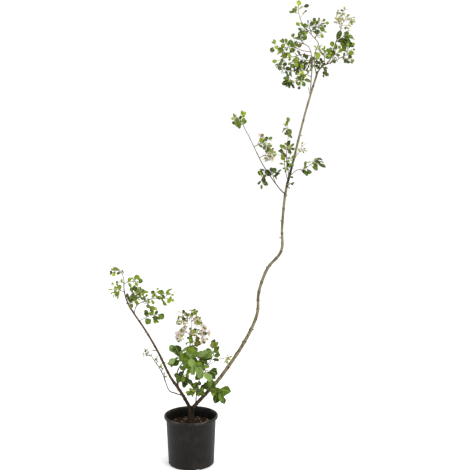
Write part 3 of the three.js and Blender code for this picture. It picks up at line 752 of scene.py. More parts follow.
    def keeps_reach(self, point: Point) -> bool:
        """Whether a point stays within the reach of the mass's CAD solid."""
        sides = zip(self.low, point, self.high)
        return all(low - self.margin <= value <= high + self.margin for low, value, high in sides)

    def grow_shoots(self) -> None:
        """Grows the side shoots, to either hand in turn."""
        habit = self.habit
        hand = 1 if self.chance.next() < 0.5 else -1
        first, last = self.SHOOT_PLACES
        for i in range(habit.shoots):
            part = (i + self.chance.between(0.2, 0.8)) / habit.shoots
            self.grow_shoot(self.stem, mix(max(habit.bare, first), last, part), hand)
            hand = -hand

    def grow_shoot(self, parent: Twig, share: float, hand: int, scale: float = 1.0) -> None:
        """Grows a shoot that meets nothing, or none after so many tries.

        Args:
            parent: the twig that it leaves.
            share: where on the twig.
            hand: to which side.
            scale: its size beside a usual shoot. A smaller one also keeps to the mass's reach.
        """
        chance = self.chance
        for _ in range(self.tries):
            angle, roll = chance.between(*self.SHOOT_ANGLES), chance.between(-1, 1)
            usual = scale * self.habit.shoot * mix(*self.SHOOT_LENGTHS, share)
            length = usual * chance.between(*self.SHOOT_SIZES)
            root = parent.at(share)
            tip = plus(root, leaving(parent.heading(share), hand, angle, roll), length)
            shoot = Twig([root, tip], *self.SHOOT, self.habit.name, self.SHOOT_BOW * length)
            if scale < 1 and not all(map(self.keeps_reach, shoot.points)):
                continue
            if self.space.takes(shoot.bones()):
                self.twigs.append(shoot)
                return

    def grow_blossom(
        self, shoots: Sequence[Twig], blooms: int, buds: int, apart: float = 0, top: float = math.inf
    ) -> None:
        """Blooms go to the first shoots' tips, buds in threes to the others', the rest along twigs.

        Args:
            shoots: the shoots whose tips may bear them.
            blooms: the number of blooms.
            buds: the number of buds.
            apart: the least distance between the mass's blooms.
            top: the height above which no bloom opens.
        """
        for shoot in shoots:
            tip = shoot.at(self.TIP)
            lone = all(distance(tip, bloom.centre) >= apart for bloom in self.blooms)
            if blooms > 0 and lone and tip[2] <= top:
                blooms -= 1
                self.add_bloom(tip, shoot.heading(1))
                continue
            here = min(buds, self.BUDS_AT_TIP)
            buds -= here
            for _ in range(here):
                self.add_bud(tip)
        for _ in range(buds):
            self.add_bud(self.chance.pick(self.twigs).at(self.chance.between(0.35, self.TIP)))

    def add_bud(self, root: Point) -> None:
        """Adds a bud where it meets nothing.

        Args:
            root: where its stalk leaves the twig.
        """
        chance = self.chance
        way = unit((chance.between(-1, 1), chance.between(-1, 1), chance.between(-0.3, 1)))
        tip = plus(root, way, chance.between(*self.BUD_REACH) + self.BUD_RADIUS)
        bud = Bone(root, tip, self.BUD_RADIUS, self.habit.name)
        if self.space.takes([bud]):
            self.buds.append(bud)

    def add_bloom(self, centre: Point, heading: Point) -> None:
        """Adds an open flower where it meets nothing.

        Args:
            centre: its middle.
            heading: the direction of the shoot that bears it.
        """
        way = unit(plus(heading, FRONT, 0.6))
        foot, top = (plus(centre, way, depth) for depth in self.BLOOM_DEPTH)
        if self.space.takes([Bone(foot, top, self.BLOOM_RADIUS, self.habit.name)]):
            self.blooms.append(Bloom(centre, way))

    def grow_leaves(self, twig: Twig, bare: float, size: float) -> None:
        """Grows nearly opposite pairs up a twig, smaller towards its tip, and one at its end.

        Args:
            twig: the twig that bears them.
            bare: the share of its way with no leaves.
            size: their usual length.
        """
        habit = self.habit
        span = twig.span
        first = bare * span
        for i in range(int((span - first) / habit.gap)):
            share = (first + (i + self.chance.between(0.2, 0.7)) * habit.gap) / span
            length = size * mix(1, 0.75, share)
            turn = 0.5 * math.pi * (i % 2) + 0.4 if habit.whorl else 0
            staggered = share + 0.15 * habit.gap / span
            for hand, place, left_out in ((1, share, 0), (-1, staggered, 1)):
                if not (habit.lone and i % 2 == left_out):
                    self.grow_leaf(twig, min(place, self.LAST), hand, length, turn)
        self.grow_leaf(twig, self.LAST, 0, 0.85 * size)

    def grow_leaf(self, twig: Twig, share: float, hand: int, size: float, turn: float = 0) -> None:
        """Grows one leaf, or none after so many tries that meet something.

        Args:
            twig: the twig that bears it.
            share: where on the twig.
            hand: to which side, or 0 for onwards from the twig's end.
            size: its usual length.
            turn: its turn about the twig.
        """
        habit = self.habit
        self.leaves_tried += 1
        times, apart = self.LEAF_SEED
        chance = Chance.of(self.seed, times, self.leaves_tried * apart)
        for _ in range(self.tries):
            angle = chance.between(*(self.LEAF_ANGLES if hand else self.LAST_ANGLES))
            roll = turn + chance.between(-0.9, 0.9) * (0.5 if habit.whorl else 1)
            tilt = chance.between(-0.8, 0.8)
            length = size * chance.between(*self.LEAF_LENGTHS)
            width = length * habit.wide * chance.between(*self.LEAF_WIDTHS)
            axis = leaving(twig.heading(share), hand or 1, angle, roll)
            axis = unit(plus(axis, UP, -habit.hang * chance.between(*self.LEAF_HANGS)))
            droop, fold = chance.between(*self.LEAF_DROOPS), chance.between(*self.LEAF_FOLDS)
            normal = lit_side(axis, tilt)
            blade = Blade(twig.at(share), axis, normal, length, width, droop, fold, habit.name, share)
            if self.space.blade_is_clear(blade) and self.keeps_reach(blade.at(1, 0)):
                self.blades.append((blade, twig))
                self.space.blades.append(blade)
                twig.leaves.append(share)
                return


# Meshes


Outline = list[tuple[float, float]]
Finishes = Callable[[int], Sequence[str]]  # those of the faces after a row, from its number


class Sketch:
    """Points in millimetres and faces that become one mesh."""

    def __init__(self) -> None:
        """Starts empty."""
        self.points: list[Point] = []
        self.faces: list[tuple[int, ...]] = []
        self.finishes: list[str] = []

    def point(self, place: Point) -> int:
        """Adds a point and returns its number."""
        self.points.append(place)
        return len(self.points) - 1

    def face(self, corners: Iterable[int], finish: str) -> None:
        """Adds a face in a finish."""
        self.faces.append(tuple(corners))
        self.finishes.append(finish)

    def fan(self, row: Sequence[int], tip: int, finishes: Sequence[str]) -> None:
        """Joins a row of points to one point by triangles, one finish for each."""
        for a, b, finish in zip(row, [*row[1:], row[0]], finishes):
            self.face((a, b, tip), finish)

    def strips(self, rows: Sequence[Sequence[int]], finishes: Finishes) -> None:
        """Joins each row of points to the next by four-sided faces.

        Args:
            rows: the numbers of the points.
            finishes: gives one finish for each face. A full set of them closes the rows.
        """
        for i, (row, following) in enumerate(zip(rows, rows[1:])):
            for k, finish in enumerate(finishes(i)):
                after = (k + 1) % len(row)
                self.face((row[k], row[after], following[after], following[k]), finish)

    def hull(self, rings: Iterable[Sequence[Point]], ends: Iterable[Point], finishes: Finishes) -> None:
        """Adds a closed skin over rings of points, with one point at each end.

        Args:
            rings: the rings.
            ends: the points that the first and the last ring run to.
            finishes: gives the finishes of the faces after a ring.
        """
        rows = [[self.point(place) for place in ring] for ring in rings]
        self.strips(rows, finishes)
        for end, row, number in zip(ends, (rows[0], rows[-1]), (0, len(rows) - 2)):
            self.fan(row, self.point(end), finishes(number))

    def wrap(
        self,
        line: Sequence[Point],
        sides: int,
        radius: Callable[[int, float], float],
        finish: Callable[[int, float], str],
        cap: float = 0.6,
    ) -> None:
        """Wraps a line in a closed skin.

        Args:
            line: the middle line.
            sides: the number of points round each ring.
            radius: the radius at a ring's number and a turn about the line.
            finish: the finish of the face at a ring's number and a turn.
            cap: how far the ends bulge, as a share of their radius.
        """
        turns = turns_of(sides)
        last = len(line) - 1
        rings = [
            [plus(place, spoke(side, lift, turn), radius(i, turn)) for turn in turns]
            for i, (place, (side, lift)) in enumerate(zip(line, frames_along(line)))
        ]
        ends = [
            plus(line[i], unit(minus(line[i], line[inner])), cap * radius(i, 0))
            for i, inner in ((0, 1), (last, last - 1))
        ]
        self.hull(rings, ends, lambda i: [finish(i, turn) for turn in turns])

    def turn(self, outline: Outline, sides: int, finish: str) -> None:
        """Turns an outline into a closed form.

        Args:
            outline: pairs of radius and height, which start and end on the upright axis.
            sides: the number of points round each ring.
            finish: the finish of all faces.
        """
        turns = turns_of(sides)
        rings = [[(r * math.cos(turn), r * math.sin(turn), z) for turn in turns] for r, z in outline[1:-1]]
        ends = [(0.0, 0.0, z) for _, z in (outline[0], outline[-1])]
        self.hull(rings, ends, lambda _i: [finish] * sides)

    def two_sided(self, rows: Iterable[Sequence[tuple[Point, float, float]]], normal: Point) -> list:
        """Adds the points of a thin form whose two sides meet at the ends of its rows.

        Args:
            rows: each row's places, with the middle's height over each and half the thickness.
            normal: the way that the upper side faces.

        Returns:
            The rows of numbers of the upper side, and those of the lower.
        """
        tops, lows = [], []
        for row in rows:
            top = [self.point(plus(place, normal, height + half)) for place, height, half in row]
            low = [self.point(plus(place, normal, height - half)) for place, height, half in row[1:-1]]
            tops.append(top)
            lows.append([top[0], *low, top[-1]])
        return [tops, lows]

    def piece(self, name: str, crease: float = 60) -> Piece:
        """Makes the object.

        Args:
            name: the object's name.
            crease: faces that meet at more than this angle, in degrees, keep a sharp edge.

        Returns:
            The object, linked to the scene.
        """
        mesh = bpy.data.meshes.new(name)
        mesh.from_pydata([scaled(point, METRES) for point in self.points], [], self.faces)
        used = sorted(set(self.finishes))
        for finish in used:
            mesh.materials.append(bpy.data.materials[finish])
        mesh.polygons.foreach_set("material_index", [used.index(finish) for finish in self.finishes])
        turn_outwards(mesh)
        mesh.shade_smooth()
        mesh.set_sharp_from_angle(angle=math.radians(crease))
        made = bpy.data.objects.new(name, mesh)
        bpy.context.scene.collection.objects.link(made)
        return made


def turn_outwards(mesh: bpy.types.Mesh) -> None:
    """Turns the faces of a closed mesh outwards.

    Args:
        mesh: the mesh.
    """
    work = bmesh.new()
    work.from_mesh(mesh)
    bmesh.ops.recalc_face_normals(work, faces=work.faces)
    work.to_mesh(mesh)
    work.free()


def apply_modifiers(piece: Piece) -> None:
    """Applies a piece's modifiers to its mesh.

    Args:
        piece: the piece.
    """
    graph = bpy.context.evaluated_depsgraph_get()
    mesh = bpy.data.meshes.new_from_object(piece.evaluated_get(graph))
    piece.modifiers.clear()
    piece.data = mesh


def hand_over(piece: Piece, nodes: Sequence[str] = ()) -> None:
    """Puts a finished piece on the frame, and reports it.

    Args:
        piece: the piece.
        nodes: the CAD nodes that it stands for.
    """
    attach(piece, BODY)
    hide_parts(*nodes)
    LOG.info("%s: %d faces, for %d nodes", piece.name, len(piece.data.polygons), len(nodes))


def frames_along(line: Sequence[Point]) -> list[tuple[Point, Point]]:
    """Carries two directions square to a line along it, without twist.

    Args:
        line: the points of the line.

    Returns:
        The two directions at each point.
    """
    frames = []
    side: Point | None = None
    for before, after in zip([line[0], *line[:-1]], [*line[1:], line[-1]]):
        way = unit(minus(after, before))
        side = unit(square_to(side or cross(way, UP if abs(way[2]) < 0.9 else FRONT), way))
        frames.append((side, cross(side, way)))
    return frames


def bell(value: float, spread: float) -> float:
    """A rounded bump that is 1 at 0 and fades over its spread."""
    return math.exp(-((value / spread) ** 2))


def rough(place: Point, grain: float, seed: float = 0.0) -> float:
    """Smooth noise of about -1 to 1 whose features are about a grain across."""
    return noise.noise(Vector(place) / grain + Vector((seed, 0, 0)))


# Leaves, twigs, buds and blooms


class Kind(Enum):
    """What a region's foliage is made of, each kind in a piece of its own."""

    LEAVES = "leaves"
    TWIGS = "twigs"
    PETALS = "petals"
    BUDS = "buds"
    STAMENS = "stamens"


@dataclass(frozen=True)
class LeafForm:
    """How a blade becomes a leaf: a stalk, a rib in a groove, side veins and a thin edge."""

    blade: Blade
    slim: float  # width beside the blade's, which is what growth keeps clear
    lean: float  # under 1 the leaf is widest near its foot
    blunt: float  # under 1 its ends are rounded
    phase: float  # where its ripples start
    stalk: float = 0.1  # share of the length
    stalk_half: float = 0.5
    thickness: float = 0.5
    rib: float = 0.07  # half its width, as a share of the leaf's half width
    groove: float = 0.22
    vein: float = 0.09  # how far the leaf bulges between the side veins
    slant: float = 0.07  # how far the side veins run forwards, as a share of the length
    ripple: float = 0.13  # the edge's waves, as a share of the half width
    rows: int = 9  # between the stalk and the tip
    tip_shares: tuple[float, ...] = (0.93, 0.975)

    UNDERSIDE = "underside"
    RIB = "rib"

    @property
    def across(self) -> tuple[float, ...]:
        """Where each row has its points, from edge to edge."""
        half = (self.rib, 0.4, 0.75, 1.0)
        return (*(-value for value in reversed(half)), *half)

    @property
    def along(self) -> tuple[float, ...]:
        """The rows' shares of the length."""
        body = [mix(self.stalk + 0.025, 0.86, share) for share in shares_of(self.rows - 1)]
        return (0.04, self.stalk, *body, *self.tip_shares)

    def half(self, share: float) -> float:
        """Half the width at a share of the length, no less than the stalk's."""
        body = math.sin(math.pi * limited((share - self.stalk) / (1 - self.stalk)) ** self.lean) ** self.blunt
        return max(0.5 * self.slim * self.blade.width * body, self.stalk_half * min(1, 8 * (1.04 - share)))

    def places(self) -> list[list[tuple[Point, float, float]]]:
        """Lays out the leaf with its ripples, its groove and the bulges between its veins.

        Returns:
            Each row's places, with the middle's height over each and half the thickness.
        """
        rows = []
        blade = self.blade
        for number, share in enumerate(self.along):
            half, window = self.half(share), 4 * share * (1 - share)
            bulge = self.vein * (1 if number % 2 else -1) * window
            row = []
            for across in self.across:
                forward = share + self.slant * abs(across) * window
                waves = self.ripple * half * across * across * math.sin(9 * forward + self.phase + across)
                lift = abs(across) * half * blade.fold - blade.sag(forward) + waves
                lift += bulge * (1 - abs(across))
                sunk = self.groove if abs(across) <= self.rib and share > self.stalk else 0.0
                thick = 0.5 * self.thickness * (1 - across * across)
                row.append((blade.lay(forward, across * half, lift), -sunk, thick))
            rows.append(row)
        return rows

    def add(self, sketch: Sketch, foot: Point, tone: str) -> None:
        """Adds the leaf.

        Args:
            sketch: takes the faces.
            foot: where its stalk leaves the twig.
            tone: the finish of its upper side.
        """
        sides = sketch.two_sided(self.places(), self.blade.normal)
        root, tip = sketch.point(foot), sketch.point(self.blade.at(1, 0))
        spans = len(self.across) - 1
        stalk = [self.RIB] * spans
        for rows, finish in zip(sides, (tone, self.UNDERSIDE)):
            body = [self.RIB if k == spans // 2 else finish for k in range(spans)]
            sketch.strips(rows, lambda i: body if i else stalk)
            sketch.fan(rows[0], root, stalk)
            sketch.fan(rows[-1], tip, body)


@dataclass(frozen=True)
class TwigForm:
    """How a twig's skin is made, with a swelling where each leaf leaves."""

    sides: int = 8
    spacing: float = 2.6  # between rings
    slim: float = 0.72  # radius beside the CAD solid's
    swelling: float = 0.45
    swelling_reach: float = 1.7
    brown: float = 0.6  # share of a stem's way

    def add(self, sketch: Sketch, twig: Twig, is_stem: bool) -> None:
        """Adds a twig, green but for a stem's brown foot.

        Args:
            sketch: takes the faces.
            twig: the twig's place.
            is_stem: whether it is its mass's stem.
        """
        span = twig.span
        shares = shares_of(max(round(span / self.spacing), 5))
        swollen = [
            min(sum(bell((share - leaf) * span, self.swelling_reach) for leaf in twig.leaves), 1)
            for share in shares
        ]

        def radius(i: int, turn: float) -> float:
            """The radius, with the swellings and a slightly four-sided section."""
            shape = 1 + self.swelling * swollen[i] + 0.05 * math.cos(4 * turn)
            return self.slim * mix(twig.foot, twig.tip, shares[i]) * shape

        def finish(i: int, _turn: float) -> str:
            """The finish of the face."""
            return "young_bark" if is_stem and shares[i] < self.brown else "green_twig"

        sketch.wrap([twig.smooth(share) for share in shares], self.sides, radius, finish)


@dataclass(frozen=True)
class BudForm:
    """A round ridged bud with a pointed tip, on a thin stalk."""

    sides: int = 12
    stalk: float = 0.42
    radius: float = 2.35
    ridge: float = 0.08
    # Distance back from the tip, and share of the radius
    outline: Pairs = (
        (0.12, 0.1), (0.6, 0.42), (1.2, 0.74), (2.0, 0.95), (2.9, 1.0), (3.7, 0.86), (4.4, 0.55),
    )

    def add(self, sketch: Sketch, bud: Bone, tone: str) -> None:
        """Adds a bud and its stalk.

        Args:
            sketch: takes the faces.
            bud: its place.
            tone: its finish.
        """
        span, way = distance(bud.start, bud.end), unit(minus(bud.end, bud.start))
        body = [
            (span - back, self.radius * share, self.ridge if share > 0.2 else 0.0)
            for back, share in reversed(self.outline)
            if back < span
        ]
        marks = [*((along, self.stalk, 0.0) for along in (0.0, 0.5 * body[0][0])), *body]
        sketch.wrap(
            [plus(bud.start, way, along) for along, _, _ in marks],
            self.sides,
            lambda i, turn: marks[i][1] * (1 + marks[i][2] * math.cos(6 * turn)),
            lambda i, _turn: "green_twig" if i < 2 else tone,
            cap=0.9,
        )


@dataclass(frozen=True)
class BloomForm:
    """A flower of six crinkled petals on narrow claws, with its cup and stamens."""

    sketches: dict[Kind, Sketch]  # take the faces
    bloom: Bloom
    chance: Chance
    petals: int = 6
    inner: float = 1.6
    outer: float = 11.6
    claw: float = 0.16  # share of a petal's length
    claw_half: float = 0.9
    half: float = 6.6
    rows: int = 9
    columns: int = 9
    thickness: float = 0.32
    rise: float = 1.36
    crinkle: float = 1.15
    stamens: int = 18
    # Height, radius, and how far every other point stands out
    cup: tuple[Point, ...] = (
        (-4.6, 0.7, 0), (-3.6, 1.6, 0), (-1.8, 2.3, 0), (0.0, 2.3, 0), (0.5, 2.6, 1.1), (0.3, 1.6, 0),
    )
    cup_ends: tuple[float, float] = (-4.9, 0.0)
    thread_rings: int = 2
    # Share of the length, and radius
    stamen: Pairs = (
        (0.0, 0.16), (0.4, 0.14), (0.8, 0.14), (0.86, 0.5), (0.95, 0.62), (1.0, 0.3),
    )

    def build(self) -> None:
        """Builds the flower."""
        chance = self.chance
        side, lift = around(self.bloom.facing)
        start = chance.turn()
        for k in range(self.petals):
            turn = start + TURN * (k + chance.between(-0.12, 0.12)) / self.petals
            self.add_petal(spoke(side, lift, turn))
        turns = [start + math.pi / self.petals + turn for turn in turns_of(2 * self.petals)]
        self.add_cup([spoke(side, lift, turn) for turn in turns])
        for _ in range(self.stamens):
            self.add_stamen(spoke(side, lift, chance.turn()))

    def add_petal(self, out: Point) -> None:
        """Adds one petal.

        Args:
            out: the direction in which it leaves the cup.
        """
        bloom, chance, sketch = self.bloom, self.chance, self.sketches[Kind.PETALS]
        across_way = cross(bloom.facing, out)
        lean, reach = chance.between(0.05, 0.5), self.outer * chance.between(0.86, 1.04)
        phases = [chance.turn() for _ in range(3)]
        rows = []
        for share in shares_of(self.rows - 1):
            limb = eased((share - self.claw) / (1 - self.claw))
            blade = self.half * math.sin(math.pi * mix(0.12, 0.8, limb)) ** 0.8
            half = mix(self.claw_half, blade, eased(2.2 * limb))
            row = []
            for a in (2 * part - 1 for part in shares_of(self.columns - 1)):
                fringe = 0.9 * math.sin(6 * a + phases[0]) + 0.5 * (1 - a * a) - 1.6 * a * a
                away = mix(self.inner, reach, share) + limb * fringe
                waves = math.sin(5.5 * a + phases[1] + 2 * share)
                waves += 0.6 * math.sin(9 * share + 4 * a + phases[2])
                height = lean * away + self.rise * math.sin(0.7 * math.pi * share)
                place = plus(plus(bloom.centre, out, away), across_way, a * half)
                thick = 0.5 * self.thickness * (1 - a * a)
                row.append((place, height + self.crinkle * limb * waves, thick))
            rows.append(row)
        spans = self.columns - 1
        claw_rows = self.claw * (self.rows - 1) - 0.5
        tops, lows = sketch.two_sided(rows, bloom.facing)
        for side in (tops, lows):
            sketch.strips(side, lambda i: ["petal" if i > claw_rows else "claw"] * spans)
        for top, low, finish in ((tops[0], lows[0], "claw"), (tops[-1], lows[-1], "petal")):
            for k in range(spans):
                sketch.face(dict.fromkeys((top[k], top[k + 1], low[k + 1], low[k])), finish)

    def add_cup(self, outs: Sequence[Point]) -> None:
        """Adds the green cup behind the petals, with a tooth between each two.

        Args:
            outs: the directions of its points, the teeth's and those between in turn.
        """
        middles = [plus(self.bloom.centre, self.bloom.facing, height) for height, _, _ in self.cup]
        rings = [
            [plus(middle, out, radius + tooth * (-0.3 if k % 2 else 1)) for k, out in enumerate(outs)]
            for middle, (_, radius, tooth) in zip(middles, self.cup)
        ]
        ends = [plus(self.bloom.centre, self.bloom.facing, height) for height in self.cup_ends]
        self.sketches[Kind.BUDS].hull(rings, ends, lambda _i: ["bud_green"] * len(outs))

    def add_stamen(self, out: Point) -> None:
        """Adds one stamen: a thin thread that curves outwards and ends in a yellow head.

        Args:
            out: the direction that it curves to.
        """
        spread, length = self.chance.between(0.1, 0.75), self.chance.between(4.5, 7.5)
        line = []
        for share, _ in self.stamen:
            along = length * share * (1 - 0.2 * spread * share)
            point = plus(self.bloom.centre, self.bloom.facing, along)
            line.append(plus(point, out, 0.8 + length * spread * share * share))
        self.sketches[Kind.STAMENS].wrap(
            line,
            5,
            lambda i, _turn: self.stamen[i][1],
            lambda i, _turn: "claw" if i < self.thread_rings else "pollen",
        )


# What share of a mass's leaves has each tone, by its tint
# Painted light and shade among the tones: fresh is partly a painted highlight of lit leaves and partly their
# own light green, and dark is partly painted shade inside the foliage and partly the leaves' own dark green.
TONES: dict[Tint, dict[str, float]] = {
    Tint.FRESH: dict(fresh=0.35, light=0.3, mid=0.2, deep=0.15),
    Tint.MIXED: dict(fresh=0.15, light=0.2, mid=0.22, bronze=0.03, deep=0.25, dark=0.15),
    Tint.DARK: dict(light=0.17, mid=0.2, bronze=0.03, deep=0.3, dark=0.3),
    # DEEP's sheen share is a painted reflection on the base leaves' glossy tops.
    Tint.DEEP: dict(light=0.12, sheen=0.5, mid=0.28, deep=0.1),
    Tint.OLIVE: dict(light=0.2, bronze=0.5, mid=0.3),
    Tint.GREEN: dict(light=0.3, mid=0.4, deep=0.3),
}


@dataclass(frozen=True)
class Foliage:
    """A region's masses as joined pieces: leaves, twigs and blossom."""

    region: Region
    masses: Sequence[Mass]
    twig_tone: float = 0.6  # how much a twig's leaves share their tone
    leaf_tone: float = 0.65
    tone_shift: float = 0.125  # brings the middle of both together to a half
    broad: tuple[float, float] = (20.0, 35.0)  # lengths between which leaves grow broader
    broadest: float = 0.6
    blush: float = 0.4  # share of the buds
    slim: tuple[float, float] = (0.7, 0.98)
    lean: tuple[float, float] = (0.86, 1.12)
    blunt: tuple[float, float] = (0.58, 0.9)

    BLOSSOM_SEED = (3571, 11)
    LEAF_SEED = (6151, 3)

    def build(self) -> None:
        """Builds the region's pieces."""
        sketches = {kind: Sketch() for kind in Kind}
        for mass in self.masses:
            self.add_leaves(sketches[Kind.LEAVES], mass)
            for twig in mass.twigs:
                TwigForm().add(sketches[Kind.TWIGS], twig, twig is mass.stem)
            chance = Chance.of(mass.seed, *self.BLOSSOM_SEED)
            for bud in mass.buds:
                tone = "bud_blush" if chance.next() < self.blush else "bud_green"
                BudForm().add(sketches[Kind.BUDS], bud, tone)
            for bloom in mass.blooms:
                BloomForm(sketches, bloom, chance).build()
        nodes = [mass.habit.name for mass in self.masses if mass.habit.in_cad]
        for kind, sketch in sketches.items():
            if sketch.faces:
                made = sketch.piece(f"{kind.value}_{self.region.value}")
                hand_over(made, nodes if kind in (Kind.LEAVES, Kind.TWIGS) else ())

    def add_leaves(self, sketch: Sketch, mass: Mass) -> None:
        """Adds a mass's leaves, each twig's in tones near one another.

        Args:
            sketch: takes the faces.
            mass: the mass.
        """
        chance = Chance.of(mass.seed, *self.LEAF_SEED)
        leanings = {id(twig): chance.next() for twig in mass.twigs}
        low, high = self.broad
        for blade, twig in mass.blades:
            share = self.twig_tone * leanings[id(twig)] + self.leaf_tone * chance.next()
            share = limited(share - self.tone_shift, 0, 0.999)
            for tone, part in TONES[mass.habit.tint].items():
                share -= part
                if share < 0:
                    break
            broad = self.broadest * eased((blade.length - low) / (high - low))
            slim = mix(chance.between(*self.slim), 1.0, broad)
            lean, blunt = chance.between(*self.lean), chance.between(*self.blunt)
            form = LeafForm(blade, slim, lean, blunt, chance.turn())
            form.add(sketch, twig.smooth(blade.share), f"leaf_{tone}")


# Trunk, stems and boughs


@dataclass(frozen=True)
class Stub:
    """A short dead side twig on a limb, with a blunt broken end."""

    share: float
    length: float
    hand: int  # 1 to the limb's right as seen from the front, -1 to its left
    angle: float = 1.0

    STEPS = 7
    KNOBS = (3, 6)

    def add(self, sketch: Sketch, limb: Limb) -> None:
        """Adds the side twig to its limb's mesh.

        Args:
            sketch: takes the faces.
            limb: the limb.
        """
        root, steps = limb.at(self.share), self.STEPS
        heading = unit(minus(limb.at(self.share + 0.01), limb.at(self.share - 0.01)))
        way = leaving(heading, self.hand, self.angle, 0.25)
        line = [
            plus(plus(root, way, self.length * share), UP, 0.6 * math.sin(2.6 * share))
            for share in shares_of(steps)
        ]
        base = 0.42 * limb.radius(self.share)
        tapers = [mix(1, 0.62, i / steps) + (0.25 if i in self.KNOBS else 0.0) for i in range(steps + 1)]
        sketch.wrap(
            line,
            8,
            lambda i, turn: base * (1 if i else 1.5) * (tapers[i] + 0.08 * math.cos(3 * turn)),
            lambda i, _turn: "scar" if i >= steps - 2 else limb.bark,
            cap=0.25,
        )


@dataclass(frozen=True)
class BarkForm:
    """How a limb's skin is made: nodes with paired scars, soft ridges and fine relief."""

    sides: int = 18
    spacing: float = 2.3
    internode: float = 36.0
    node_swelling: float = 0.13
    node_reach: float = 3.4
    scar_lift: float = 0.2
    scar_reach: float = 2.6
    scar_edge: float = 0.45  # how much of a scar it takes to be dark
    ridge: float = 0.05
    relief: float = 0.16
    relief_size: float = 2.8
    marks: int = 200  # points that the limb's length is measured by

    def build(self, limb: Limb) -> None:
        """Builds a limb's piece.

        Args:
            limb: the limb.
        """
        sketch = Sketch()
        marks = [limb.at(share) for share in shares_of(self.marks)]
        steps = round(sum(distance(a, b) for a, b in zip(marks, marks[1:])) / self.spacing)
        shares = shares_of(steps)
        ways = [i * self.spacing for i in range(steps + 1)]
        nodes = [round(way / self.internode) for way in ways]
        past = [way - node * self.internode for way, node in zip(ways, nodes)]

        def scar(i: int, turn: float) -> float:
            """How much of a scar there is, from 0 to 1: two at each node, crossed from the last."""
            faced = abs(math.cos(turn + 0.5 * math.pi * nodes[i] + 0.4)) ** 6
            return faced * bell(past[i] + 1.2, self.scar_reach) if nodes[i] else 0.0

        def radius(i: int, turn: float) -> float:
            """Works out the radius, with its nodes, scars, ridges and relief.

            Args:
                i: the ring's number.
                turn: the turn about the limb.

            Returns:
                The radius.
            """
            shape = 1 + self.node_swelling * bell(past[i], self.node_reach)
            shape += self.ridge * math.cos(4 * turn + 0.02 * ways[i]) + self.scar_lift * scar(i, turn)
            fine = self.relief * rough((ways[i], 4 * math.cos(turn), 4 * math.sin(turn)), self.relief_size)
            return limb.thickness * limb.radius(shares[i]) * shape + fine

        def finish(i: int, turn: float) -> str:
            """The bark's tone, or the darker scars'."""
            return "scar" if scar(i, turn) > self.scar_edge else limb.bark

        sketch.wrap([limb.at(share) for share in shares], self.sides, radius, finish)
        for stub in limb.stubs:
            stub.add(sketch, limb)
        made = sketch.piece(f"bark_{limb.name}", crease=75)
        hand_over(made, limb.nodes or [limb.name])


@dataclass(frozen=True)
class Trunk:
    """The forked foot: two strands that are grown together, with a flare at the potting mix."""

    # The points of each strand's middle line, and its radii at foot and tip
    strands: tuple[tuple[tuple[Point, ...], float, float], ...] = (
        (((-3.4, 0, 116), (-3.6, -0.5, 148), (-4, -1, 178)), 5.5, 5.2),
        (((2.6, 0.5, 116), (3.8, 1, 148), (7.5, 1, 178)), 4.9, 5.2),
    )
    flare: float = 3.0
    flare_height: float = 7.0
    soil_level: float = 122.0
    sides: int = 28
    steps: int = 44
    ridge: float = 0.175
    voxel: float = 0.75
    softening: int = 3
    relief: float = 0.35

    def add_strand(self, sketch: Sketch, points: Sequence[Point], foot: float, tip: float) -> None:
        """Adds one strand, with long soft ridges that spread into its flare.

        Args:
            sketch: takes the faces.
            points: the points of its middle line.
            foot: its radius at its foot.
            tip: its radius at its tip.
        """
        line = [curve_at(points, share) for share in shares_of(self.steps)]
        above = [max(z - self.soil_level, 0) for _, _, z in line]
        flares = [self.flare * math.exp(-height / self.flare_height) for height in above]
        sketch.wrap(
            line,
            self.sides,
            lambda i, turn: mix(foot, tip, i / self.steps)
            + flares[i]
            + self.ridge * math.cos(5 * turn + 0.03 * line[i][2]) * (0.4 + flares[i]),
            lambda _i, _turn: "bark_foot",
            cap=0.1,
        )

    def build(self) -> None:
        """Builds the trunk's piece, melted into one skin with flaky relief."""
        sketch = Sketch()
        for strand in self.strands:
            self.add_strand(sketch, *strand)
        made = sketch.piece("bark_trunk")
        melt = made.modifiers.new("melt", "REMESH")
        melt.mode = "VOXEL"
        melt.voxel_size = self.voxel * METRES
        melt.use_smooth_shade = True
        made.modifiers.new("soften", "SMOOTH").iterations = self.softening
        apply_modifiers(made)
        for corner in made.data.vertices:
            x, y, z = corner.co / METRES
            flakes = rough((x, y, 0.35 * z), 3.0) + 0.5 * rough((x, y, z), 1.4, 9)
            corner.co += corner.normal * (self.relief * flakes * METRES)
        hand_over(made, ["trunk"])


# Pot and potting mix


